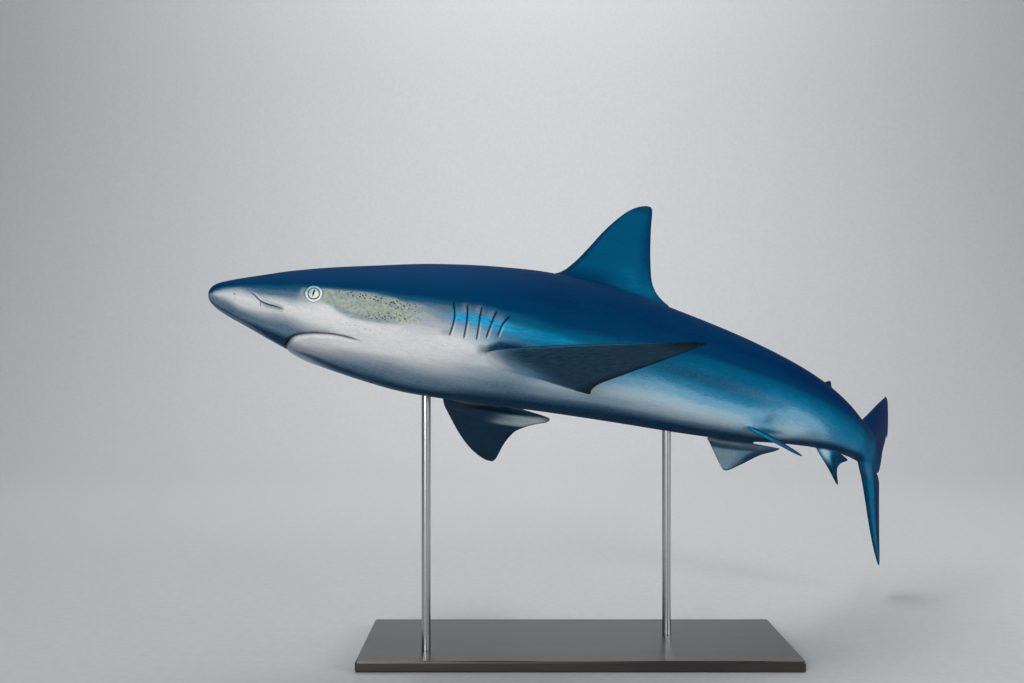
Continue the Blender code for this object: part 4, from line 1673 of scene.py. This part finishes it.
FIN_EDGES = (
    FinPatch("dusk", 0.7, back=(-1, 0.02), softness=(0.08, 0.03)),
    FinPatch("dusk", 0.75, back=(0.96, 2), softness=(0.08, 0.05)),
)
FIN_PATCHES = {
    "pectoral_fin_left": (
        FinPatch("tone", 0.9, (0.03, 2), face=Face.UPPER),
        # dusky underside, darkened further by painted shade
        FinPatch("slate", 1, (0.1, 2), face=Face.UNDER, softness=(0.14, 0.06)),
        # painted shadow over the underside towards the free rear tip
        FinPatch("deep", 0.9, (0.02, 0.6), (0.5, 2), 1, Face.UNDER, (0.05, 0.24)),
        FinPatch("dusk", 0.85, back=(0.93, 2), softness=(0.08, 0.06)),
        FinPatch("dusk", 0.9, (-1, 0.09), (0.86, 2), softness=(0.04, 0.06)),
        FinPatch("dusk", 0.9, (0.9, 2), softness=(0.09, 0.06)),
        FinPatch("pale", 0.12, (0.1, 0.8), (-1, 0.02), face=Face.UNDER, softness=(0.05, 0.02)),
        # painted shade along the upper side's leading edge
        FinPatch("deep", 1, back=(-1, 0.06), face=Face.UPPER, softness=(0.08, 0.04)),
    ),
    "pectoral_fin_right": (
        FinPatch("tone", 0.9, (0.03, 2), face=Face.UPPER),
        # painted shade over the whole underside
        FinPatch("deep", 1, face=Face.UNDER),
        FinPatch("pale", 0.9, (0.045, 0.24), (0.62, 2), 1, Face.UNDER, (0.04, 0.26)),
        # painted shadow of the body along the underside's root
        FinPatch("dusk", 0.75, (-1, 0.03), (-1, 0.85), face=Face.UNDER, softness=(0.02, 0.06)),
        FinPatch("dusk", 0.65, (0.8, 2), face=Face.UNDER, softness=(0.2, 0.06)),
        *FIN_EDGES,
    ),
    "pelvic_fin_left": (
        FinPatch("tone", 0.8, (0, 2), face=Face.UPPER),
        FinPatch("tone", 0.8, (0, 2), face=Face.UNDER),
        # painted sheen along the leading edge
        FinPatch("gleam", 0.6, (0, 0.6), (-1, 0.06), softness=(0.15, 0.04)),
        FinPatch("dusk", 0.6, back=(0.92, 2)),
    ),
    "pelvic_fin_right": (
        FinPatch("tone", 0.8, (0, 2), face=Face.UPPER),
        FinPatch("tone", 0.3, (0.1, 2), face=Face.UNDER),
        FinPatch("veil", 0.6, (0.1, 2), face=Face.UNDER),
        FinPatch("pale", 0.3, (0.22, 2), (-1, 0.6), face=Face.UNDER, softness=(0.05, 0.16)),
        # painted shadow along the underside's root and towards its rear
        FinPatch("shade", 0.9, (-1, 0.2), face=Face.UNDER, softness=(0.04, 0.06)),
        FinPatch("shade", 0.6, (-1, 0.55), (0.72, 2), face=Face.UNDER, softness=(0.1, 0.08)),
        FinPatch("dusk", 0.75, (0.93, 2)),
        # painted shade over the rear part
        FinPatch("deep", 0.8, (-1, 2), (0.74, 2), face=Face.UNDER, softness=(0.1, 0.1)),
        *FIN_EDGES,
    ),
    "first_dorsal_fin": (
        FinPatch("tone", 0.67, (0.46, 2), softness=(0.08, 0.06)),
        FinPatch("tone", 0.57, (0.38, 0.62), (0.55, 2), softness=(0.09, 0.22)),
        FinPatch("tone", 0.8, (0.55, 2), (0.84, 2), softness=(0.15, 0.14)),
        FinPatch("deep", 0.95, (0.4, 2), (-1, 0.06), softness=(0.03, 0.04)),
        FinPatch("deep", 0.9, (0.48, 2), (0.97, 2), softness=(0.08, 0.04)),
        FinPatch("deep", 0.7, (0.95, 2), softness=(0.06, 0.06)),
    ),
    "second_dorsal_fin": (FinPatch("tone", 0.88), FinPatch("dusk", 0.4, (0.85, 2))),
    "anal_fin": (
        FinPatch("tone", 0.34, (-1, 0.75), (-1, 0.45), softness=(0.1, 0.12)),
        FinPatch("deep", 0.75, (0.4, 2), (0.45, 2), softness=(0.1, 0.12)),
        FinPatch("pale", 0.7, (0.3, 0.66), (0.07, 0.34), softness=(0.1, 0.07)),
        FinPatch("deep", 0.9, (0.7, 2), softness=(0.1, 0.06)),
        FinPatch("tone", 0.72, back=(0.48, 2), softness=(0.1, 0.12)),
        FinPatch("tone", 0.85, (0.8, 2)),
        *FIN_EDGES,
    ),
    "caudal_lower_lobe": (
        # painted light and shade: a lit front half and a shaded rear half
        FinPatch("tone", 0.53, back=(-1, 0.5)),
        FinPatch("tone", 0.95, back=(0.42, 2), softness=(0.08, 0.09)),
        FinPatch("mauve", 0.3, (0.16, 0.28), (-0.1, 0.3), softness=(0.05, 0.1)),
        FinPatch("deep", 0.9, (0.16, 2), (-1, 0.09), softness=(0.04, 0.06)),
    ),
}
# Middles are (distance from the snout, degrees above the widest level)
BODY_PATCHES = (
    BodyPatch("mauve", 0.8, (0.455, 0.5), (0.01, 4.5)),
    BodyPatch("mauve", 0.8, (0.48, -0.5), (0.01, 4.5)),
    BodyPatch("mauve", 0.7, (0.505, -3), (0.01, 4.5)),
    BodyPatch("mauve", 0.7, (0.523, -6), (0.008, 4.5)),
    BodyPatch("mauve", 0.55, (0.423, -18.5), (0.012, 3)),
    BodyPatch("mauve", 0.35, (1.15, -38), (0.02, 9)),
    # painted shadow by the pelvic fins' roots
    BodyPatch("shade", 0.4, (1.145, -43), (0.016, 7)),
    BodyPatch("veil", 0.42, (1.09, -19), (0.1, 6.5)),
    # painted shadow over each pectoral fin's root
    BodyPatch("shade", 0.6, (0.496, -29), (0.012, 4.5)),
    # painted shade on the right side's underside
    BodyPatch("deep", 1, (0.6, -60), (0.13, 17), side=Side.RIGHT),
    BodyPatch("shade", 0.55, (0.94, -18), (0.17, 8)),
    # painted highlight above each pelvic fin's root
    BodyPatch("gleam", 0.4, (1.125, -47), (0.034, 6)),
    # painted shadow under the pelvic fins' leading edges
    BodyPatch("tone", 0.66, (1.15, -61), (0.045, 4.5), 0.9),
)


def window(values: Array, start: float, end: float, softness: float) -> Array:
    """Gives 1 between two values and 0 outside them, with soft steps."""
    rise = eased(values, start - softness, start + softness)
    return rise * eased(-values, -end - softness, softness - end)


@dataclass
class Markings:
    """Where the colours of the hide lie, worked out in body coordinates."""

    body: BodyForm
    relief: HeadRelief
    fins: list[FinForm]
    names: tuple[str, ...] = (
        "tone", "rear", "cheek", "mauve", "gleam", "veil", "deep", "shade", "slate", "pale",
        "lip", "edge", "lid", "lid_top", "dusk", "pores",
    )
    # How far the paint has turned from the belly's white (0) to the back's navy (1) on five lines
    tone_levels: tuple[float, ...] = (0.05, 0.28, 0.50, 0.62, 0.85)
    # Those lines: distance from the snout, then each line's degrees above the widest level
    tone_lines: Table = (
        (0, -80, -65, -55, -45, -30), (0.005, -50, -34, -24, -15, -4), (0.012, -30, -16, -8, -2, 10),
        (0.03, -18, -6, 1, 5, 12), (0.05, -20, -4, 4, 7, 14), (0.08, -20, -10, -3, 6, 17),
        (0.12, -17, -9, -3.5, 5, 17), (0.14, -18, -10, -3.5, 6.5, 18.5), (0.16, -15, -5, 4, 9.5, 17.5),
        (0.2, -10, 8, 11, 12.7, 15.5), (0.245, -16, 8, 10.7, 12.2, 14.5), (0.3, -18, 4, 7.5, 10, 13.5),
        (0.335, -20, -1, 3, 6, 12), (0.37, -25, -6, 2, 5, 10), (0.43, -22, -14, -1, 3, 8),
        (0.49, -30, -18, -3, 3, 7), (0.53, -36, -30, -10, 0, 5), (0.56, -46, -38, -12, -2, 4),
        (0.6, -54, -44, -16, -6, 3), (0.65, -50, -42, -20, -11, 0), (0.78, -50, -37, -20, -9, 0),
        (0.85, -54, -33, -21, -10, 2), (0.95, -54, -37, -22, -3, 7), (1.075, -57, -38, -26, -2, 8),
        (1.15, -80, -36, -13, -1, 9), (1.22, -76, -28, -11, -4, 6), (1.3, -100, -38, -17, -7, 5),
        (1.4, -130, -98, -29, -13, 4), (1.5, -160, -115, -30, -11, 8), (1.58, -180, -150, -75, -25, 6),
        (1.65, -200, -150, -100, -22, 30), (1.72, -200, -150, -120, -70, -25),
        (1.85, -220, -180, -150, -110, -62), (2.2, -250, -200, -180, -130, -90),
    )
    # The olive patch behind the eye lies between these two
    cheek_top: Table = (
        (0.18, 11), (0.245, 11.5), (0.27, 9.5), (0.3, 8), (0.335, 4.5), (0.37, 2), (0.43, -2),
    )
    cheek_bottom: Table = (
        (0.18, -6), (0.205, -9), (0.225, -14), (0.25, -18), (0.3, -19), (0.34, -18), (0.38, -15),
        (0.43, -9),
    )
    # The middle of the painted turquoise sheen over the gills, and how strong it is
    painted_sheen_line: Table = (
        (0.4, -6), (0.45, -6.3), (0.5, -7.5), (0.53, -10), (0.56, -12), (0.65, -15), (0.8, -20),
    )
    painted_sheen_strength: Table = (
        (0.4, 0), (0.425, 0.35), (0.44, 0.95), (0.525, 0.95), (0.56, 0.6), (0.65, 0.45), (0.78, 0),
    )
    # Where the painted grey-blue shade under the body, and the darker painted shade below it, are half laid
    # on
    underside_shade_line: Table = (
        (0, -30), (0.03, -38), (0.06, -52), (0.1, -46), (0.12, -42), (0.14, -38), (0.2, -41), (0.24, -50),
        (0.285, -57), (0.335, -54), (0.43, -53), (0.49, -50), (0.56, -46), (0.65, -57), (0.78, -54),
        (0.85, -57), (1.075, -59), (1.22, -66), (1.3, -50), (1.4, -62), (1.5, -95), (2.2, -120),
    )
    # The painted shadow over the root of each pectoral fin lies between these two
    root_shadow_top: Table = (
        (0.49, -28), (0.51, -24.5), (0.53, -21), (0.56, -21.5), (0.6, -23.5), (0.65, -25), (0.69, -28),
    )
    root_shadow_bottom: Table = (
        (0.49, -32), (0.51, -31), (0.53, -33), (0.56, -38), (0.6, -44), (0.69, -50),
    )
    underside_shade_softness: float = 19.0    # degrees to each side
    underside_shade_strength: float = 0.95
    underside_deep_shade_line: Table = (
        (0, -86), (0.03, -84), (0.06, -86), (0.1, -79), (0.14, -73), (0.285, -81), (0.335, -80),
        (0.43, -79), (0.49, -73), (0.56, -71), (0.65, -70), (0.78, -68), (0.95, -69), (1.075, -68),
        (1.22, -72), (1.3, -67), (1.4, -62), (1.5, -62), (1.58, -58), (1.65, -70), (1.72, -100),
        (2.2, -120),
    )
    deep_shade_softness: float = 10.0
    # The same two on the lower jaw, which catches more light than the snout above it
    jaw_underside_shade_line: Table = (
        (0.14, -80), (0.2, -72), (0.22, -67), (0.245, -61), (0.285, -57),
    )
    jaw_deep_shade_line: Table = ((0.140, -100.0), (0.200, -87.0), (0.285, -79.0))

    def read(self, line: Table, distance: Array) -> Array:
        """Reads one of the lines at distances from the snout."""
        return smooth_curve(*zip(*line))(distance)

    def write(self, skin: Piece, straight: Array) -> None:
        """Works out every mark and stores it in the skin's mesh.

        Args:
            skin: the piece.
            straight: its points in body coordinates.
        """
        angle, reach = self.body.lie(straight)
        marks = {name: np.zeros(len(straight)) for name in self.names}
        self.mark_body(marks, straight, angle)
        self.mark_lines(marks, straight, angle)
        self.mark_eyes(marks, straight)
        blade = np.zeros_like(straight)
        for fin in self.fins:
            self.mark_fin(marks, fin, straight, reach, blade)
        write_values(skin, "straight", straight)
        write_values(skin, "blade", blade)
        for name, values in marks.items():
            write_values(skin, name, np.clip(values, 0.0, 1.0))

    def mark_body(self, marks: Marks, straight: Array, angle: Array) -> None:
        """Lays the broad colours of the body.

        Args:
            marks: the marks so far, changed here.
            straight: points in body coordinates.
            angle: their angles round the body, in degrees.
        """
        distance = straight[:, 0]
        knots, *columns = zip(*self.tone_lines)
        lines = [smooth_curve(knots, column)(distance) for column in columns]
        tone = np.full(len(distance), self.tone_levels[0])
        for low, high, start, end in zip(self.tone_levels, self.tone_levels[1:], lines, lines[1:]):
            tone += (high - low) * np.clip((angle - start) / (end - start), 0.0, 1.0)
        top_step = 0.07 + 0.08 * eased(distance, 1.00, 1.35)
        marks["tone"] = tone + top_step * np.clip((angle - lines[-1]) / 12.0, 0.0, 1.0)
        marks["rear"] = eased(distance, 0.40, 0.64)

        top, bottom = self.read(self.cheek_top, distance), self.read(self.cheek_bottom, distance)
        patch = eased(angle - bottom, 0.0, 6.0) * eased(top - angle, 0.0, 2.5)
        marks["cheek"] = 0.95 * patch * eased(distance, 0.176, 0.192) * (1 - eased(distance, 0.33, 0.43))
        bank = hump(angle - bottom, 4.0, 4.0) * window(distance, 0.210, 0.330, 0.020)
        upper_rows = hump(top - angle, 5.0, 4.5) * window(distance, 0.215, 0.375, 0.020)
        lower_rows = hump(angle - bottom, 8.0, 5.5) * window(distance, 0.265, 0.360, 0.020) * 0.8
        fine_row = hump(angle - bottom, -6.0, 3.0) * window(distance, 0.235, 0.320, 0.015) * 0.6
        marks["pores"] = np.maximum.reduce([upper_rows, lower_rows, fine_row])

        # painted turquoise sheen over the gills and behind them
        gleam = hump(angle, self.read(self.painted_sheen_line, distance), 4.6)
        marks["gleam"] = gleam * self.read(self.painted_sheen_strength, distance)
        jaw = self.relief.on_jaw(straight) & (angle < 0)
        # painted shade that darkens the body towards its underside
        veil = np.where(jaw, self.read(self.jaw_underside_shade_line, distance), self.read(self.underside_shade_line, distance))
        # deep painted shade along the lower outline
        deep = np.where(jaw, self.read(self.jaw_deep_shade_line, distance), self.read(self.underside_deep_shade_line, distance))
        marks["veil"] = self.underside_shade_strength * eased(veil - angle, -self.underside_shade_softness, self.underside_shade_softness)
        marks["veil"] = np.maximum(marks["veil"], 0.45 * bank)
        marks["deep"] = eased(deep - angle, -self.deep_shade_softness, self.deep_shade_softness)
        # painted shadow over each pectoral fin's root
        root_shadow = eased(self.read(self.root_shadow_top, distance) - angle, -2.5, 2.5)
        root_shadow = root_shadow * eased(angle - self.read(self.root_shadow_bottom, distance), -3.0, 2.0)
        root_shadow = root_shadow * window(distance, 0.500, 0.680, 0.014)
        marks["deep"] = np.maximum(marks["deep"], root_shadow)
        for patch in BODY_PATCHES:
            weight = hump(distance, patch.middle[0], patch.spread[0])
            weight = weight * hump(angle, patch.middle[1], patch.spread[1])
            if patch.side:
                weight = weight * (straight[:, 1] * patch.side.value > 0)
            marks[patch.mark] += patch.strength * weight * (patch.value - marks[patch.mark])

    def mark_lines(self, marks: Marks, straight: Array, angle: Array) -> None:
        """Paints beside the mouth, the nostrils and the gill slits: the lip's colour, painted shade and
        painted highlights.

        Args:
            marks: the marks so far, changed here.
            straight: points in body coordinates.
            angle: their angles round the body, in degrees.
        """
        head = np.flatnonzero(straight[:, 0] < self.relief.lines_end)
        for name, line in self.relief.lines.items():
            margin = 26 * MM if name == "mouth" else 16 * MM
            low, high = line.points.min(axis=0) - margin, line.points.max(axis=0) + margin
            near = head[((straight[head] > low) & (straight[head] < high)).all(axis=1)]
            normals = self.body.normals(straight[near, 0], np.radians(angle[near]))
            normals = normals * np.where(straight[near, 1:2] < 0, (1, -1, 1), (1, 1, 1))
            gap, side, way = line.measure(straight[near], normals)
            strength = line.strength(way)
            if name == "mouth":
                front = 1 - np.abs(2 * way - 1)
                lip_highlight = window(front, 0.30, 0.80, 0.12)
                lip = 0.70 * strength * (1 - eased(front, 0.45, 0.75))
                marks["lip"][near] += lip * (side > 0) * hump(gap, 5.0 * MM, 2.4 * MM)
                # painted highlight along the lower lip
                marks["edge"][near] += 0.35 * lip_highlight * (side > 0) * hump(gap, 7.0 * MM, 3.5 * MM)
                # painted shade just above the mouth's line, and in its front corner
                above = 0.35 + 0.60 * eased(front, 0.35, 0.75)
                corner_shade = 0.9 * eased(front, 0.70, 0.92) * hump(gap * side, 1.5 * MM, 5.0 * MM)
                marks["dusk"][near] += corner_shade
                marks["shade"][near] += above * strength * (side < 0) * hump(gap, 0.0, 5.0 * MM)
                # painted shade over the upper lip
                over_lip_shade = 0.72 * (side < 0) * eased(-gap, -24 * MM, 0.0) * eased(front, 0.15, 0.55)
                marks["veil"][near] = np.maximum(marks["veil"][near], over_lip_shade)
            elif name.startswith("gill_slit"):
                # painted highlight on the rim beside each slit's lower part, and painted shade in the slit
                low = 0.40 * strength * eased(-angle[near], 6.0, 14.0)
                marks["edge"][near] += low * (side != line.rim_side) * hump(gap, 3.4 * MM, 1.2 * MM)
                marks["deep"][near] += 0.95 * strength * hump(gap, 0.0, 2.1 * MM)
            elif name in ("nostril_left", "nostril_right"):
                # painted shade behind the nostril and in its crease, and a painted highlight on its rim
                tail = eased(way, 0.30, 0.55) * (1 - eased(way, 0.80, 1.0))
                marks["shade"][near] += 0.75 * tail * hump(gap, 0.0, 6.0 * MM)
                marks["deep"][near] += 0.9 * strength * hump(gap, 0.0, 1.8 * MM)
                rim = 0.5 * strength * (side != line.rim_side)
                marks["edge"][near] += rim * hump(gap, 2.6 * MM, 1.2 * MM)

    def mark_eyes(self, marks: Marks, straight: Array) -> None:
        """Paints the lids and the skin close round them.

        Args:
            marks: the marks so far, changed here.
            straight: points in body coordinates.
        """
        for side in Side:
            beside = np.abs(straight[:, 0] - self.relief.eye_place[0]) < 60 * MM
            near = np.flatnonzero((straight[:, 1] * side.value > 0) & beside)
            centre, _ = self.relief.eye_centre(side)
            gap = self.relief.eye_gap(straight[near], side)
            away = (straight[near] - centre) / self.relief.lid_outer
            ring = window(gap, self.relief.lid_inner - 0.5 * MM, self.relief.lid_outer - 0.5 * MM, 0.6 * MM)
            marks["lid"][near] = ring
            marks["lid_top"][near] = ring * 0.85 * eased(away[:, 2] - 0.35 * away[:, 0], -0.1, 0.8)
            round_eye = 0.55 * hump(gap, 21 * MM, 5 * MM) * eased(away[:, 2], -1.3, -0.2)
            round_eye = round_eye * (1 - eased(away[:, 2], 0.45, 0.85))
            marks["cheek"][near] = np.maximum(marks["cheek"][near], round_eye)

    def mark_fin(
        self,
        marks: Marks,
        fin: FinForm,
        straight: Array,
        reach: Array,
        blade: Array,
    ) -> None:
        """Paints one fin over the body's colours.

        Args:
            marks: the marks so far, changed here.
            fin: the fin.
            straight: points in body coordinates.
            reach: how far out they are, 1 on the plain body.
            blade: places on the fins for the grain to follow, changed here.
        """
        height, back, above = fin.own_places(straight)
        span = fin.stations[-1][0]
        on_fin = (reach > 1.0) & (back > -0.06) & (back < 1.06)
        on_fin &= (height > fin.stations[0][0]) & (height < span * 1.02)
        on_fin &= np.abs(above) < fin.paint_reach * fin.stations[0][3]
        if fin.name.startswith(("pectoral", "pelvic")):
            on_fin &= straight[:, 1] * fin.side.value > 0
        weight = on_fin * eased(reach, 1.0, 1.12)
        out = height / span
        # the body's painted shade stops where a fin begins
        for mark in ("veil", "deep"):
            marks[mark] *= 1 - weight
        for patch in FIN_PATCHES[fin.name]:
            share = weight * window(out, *patch.out, patch.softness[0])
            share = share * window(back, *patch.back, patch.softness[1])
            if patch.face:
                share = share * eased(above * patch.face.value, -0.4 * MM, 0.4 * MM)
            marks[patch.mark] += patch.strength * share * (patch.value - marks[patch.mark])
        chord = fin.stations[1][2] - fin.stations[1][1]
        blade[on_fin] = np.stack([back * chord, height * 0.08, 0 * height], axis=1)[on_fin]


@dataclass
class Eye:
    """One glass eye, with the cornea's bulge."""

    spine: Spine
    relief: HeadRelief
    side: Side
    radius: float = 17.0 * MM
    proud: float = 4.0 * MM        # how far it stands out of the plain body
    pupil_lean: float = 10.0       # the slit's upper end towards the tail, in degrees
    cornea_radius: float = 10.4 * MM
    cornea_bulge: float = 0.7 * MM

    def build(self, finish: GlassEyeFinish) -> Piece:
        """Builds and dresses the eye.

        Args:
            finish: its glass.

        Returns:
            The eye.
        """
        name = "eye_" + self.side.name.lower()
        bpy.ops.object.select_all(action="DESELECT")
        bpy.ops.mesh.primitive_uv_sphere_add(segments=72, ring_count=48, radius=self.radius)
        eye = bpy.context.object
        eye.name = eye.data.name = name + "_glass"
        places = read_places(eye)
        gap = np.hypot(places[:, 0], places[:, 1])
        bulge = np.clip(1 - (gap / self.cornea_radius) ** 2, 0.0, 1.0) * (places[:, 2] > 0)
        places[:, 2] += self.cornea_bulge * bulge
        write_values(eye, "eye_place", places)
        centre, outward = self.relief.eye_centre(self.side)
        lean = math.radians(self.pupil_lean)
        up = np.array((math.sin(lean), 0.0, math.cos(lean)))
        up = unit(up - up.dot(outward) * outward)
        across = np.cross(up, outward)
        middle = centre - outward * (self.radius - self.proud)
        points = middle + places[:, :1] * across + places[:, 1:2] * up + places[:, 2:] * outward
        write_places(eye, self.spine.bent(points))
        close_up(eye, 0.01 * MM)
        finish_piece(eye, finish.build(), (name,))
        return eye


@dataclass
class Stand:
    """The display stand, which keeps its own solids and gets its finishes here."""

    base: str = "stand_base"
    rods: tuple[str, ...] = ("stand_rod_front", "stand_rod_rear")

    def dress(self, wood: StainedOakFinish, steel: BrushedSteelFinish) -> None:
        """Gives the base and the rods their materials.

        Args:
            wood: the base's finish.
            steel: the rods' finish.
        """
        materials = {self.base: wood.build()}
        rod_material = steel.build()
        for rod in self.rods:
            materials[rod] = rod_material
        for name, material in materials.items():
            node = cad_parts[name]
            node.data.materials.clear()
            node.data.materials.append(material)
            LOG.info("%s dressed in %s", name, material.name)


@dataclass
class Studio:
    """A pale floor that sweeps up into a wall, soft lights and the camera."""

    floor_half: float = 9.0
    wall_height: float = 7.0
    sweep_radius: float = 2.5
    front: float = -6.0
    back: float = 5.5
    camera_place: Triple = (-0.1305, -2.3094, 0.6303)
    camera_lens: float = 39.66
    # (name, place, what it points at, size in metres, watts)
    lamps: tuple[tuple[str, Triple, Triple, float, float], ...] = (
        ("key_softbox", (-1.30, -3.60, 1.15), (-0.10, 0.05, 0.62), 1.5, 82.0),
        ("tail_softbox", (3.30, -2.00, 1.30), (0.60, 0.55, 0.50), 1.6, 60.0),
        ("top_softbox", (0.2, 0.2, 3.2), (0.0, 0.1, 0.6), 1.6, 9.0),
        ("wall_softbox", (0.0, 2.2, 4.6), (0.0, 5.2, 0.6), 4.0, 170.0),
    )
    sky: str = "#dfe6ec"
    sky_strength: float = 0.13

    def build_floor(self, finish: StudioPaintFinish) -> Piece:
        """Builds the floor and the wall behind as one swept sheet.

        Args:
            finish: its paint.

        Returns:
            The sheet.
        """
        bpy.ops.object.select_all(action="DESELECT")
        bpy.ops.mesh.primitive_plane_add(size=1.0)
        floor = bpy.context.object
        floor.name = floor.data.name = "studio_floor"
        corners = read_places(floor)
        corners[:, 0] *= 2 * self.floor_half
        corners[:, 1] = np.where(corners[:, 1] > 0, self.back, self.front)
        write_places(floor, corners)
        open_up(floor, "EDGE")
        bpy.ops.object.mode_set(mode="OBJECT")
        for edge in floor.data.edges:
            edge.select = all(floor.data.vertices[index].co.y > 0 for index in edge.vertices)
        bpy.ops.object.mode_set(mode="EDIT")
        bpy.ops.mesh.extrude_region_move(TRANSFORM_OT_translate={"value": (0, 0, self.wall_height)})
        bpy.ops.object.mode_set(mode="OBJECT")
        for edge in floor.data.edges:
            low = all(floor.data.vertices[index].co.z < 0.1 for index in edge.vertices)
            edge.select = low and all(floor.data.vertices[index].co.y > 0 for index in edge.vertices)
        bpy.ops.object.mode_set(mode="EDIT")
        bpy.ops.mesh.bevel(offset=self.sweep_radius, offset_type="OFFSET", segments=24, profile=0.5)
        bpy.ops.object.mode_set(mode="OBJECT")
        bpy.ops.object.shade_smooth()
        floor.data.materials.append(finish.build())
        return floor

    def hang_lamps(self) -> None:
        """Hangs the soft lights and sets the room's own pale light."""
        for name, place, target, size, watts in self.lamps:
            light = bpy.data.lights.new(name, "AREA")
            light.shape = "DISK"
            light.size = size
            light.energy = watts
            lamp = bpy.data.objects.new(name, light)
            lamp.location = place
            lamp.rotation_euler = (Vector(target) - Vector(place)).to_track_quat("-Z", "Y").to_euler()
            bpy.context.scene.collection.objects.link(lamp)
        world = bpy.data.worlds.new("studio_room")
        world.use_nodes = True
        background = world.node_tree.nodes["Background"]
        set_inputs(background, Color=tint(self.sky), Strength=self.sky_strength)
        bpy.context.scene.world = world

    def place_camera(self) -> None:
        """Places the camera level, looking along +Y."""
        camera = bpy.data.cameras.new("camera")
        camera.lens = self.camera_lens
        camera.sensor_width = 36.0
        camera.clip_end = 60.0
        holder = bpy.data.objects.new("camera", camera)
        holder.location = self.camera_place
        holder.rotation_euler = (math.radians(90.0), 0.0, 0.0)
        bpy.context.scene.collection.objects.link(holder)
        bpy.context.scene.camera = holder

    def build(self) -> None:
        """Sets up the whole studio; plain display colours keep the paints as they are mixed."""
        self.build_floor(StudioPaintFinish())
        self.hang_lamps()
        self.place_camera()
        bpy.context.scene.view_settings.view_transform = "Standard"


def main() -> None:
    """Builds the skin and the eyes, dresses the stand and sets up the studio."""
    logging.basicConfig(level=logging.INFO, format="%(name)s: %(message)s")
    spine = Spine()
    body = BodyForm()
    relief = HeadRelief(body)
    skin = SharkSkin(spine, body, relief, make_fin_forms()).build(CastSkinFinish())
    skin.data.calc_loop_triangles()
    LOG.info("%s built, %d triangles", skin.name, len(skin.data.loop_triangles))
    for side in Side:
        eye = Eye(spine, relief, side).build(GlassEyeFinish())
        LOG.info("%s built", eye.name)
    Stand().dress(StainedOakFinish(), BrushedSteelFinish())
    Studio().build()


if __name__ == "__main__":
    main()
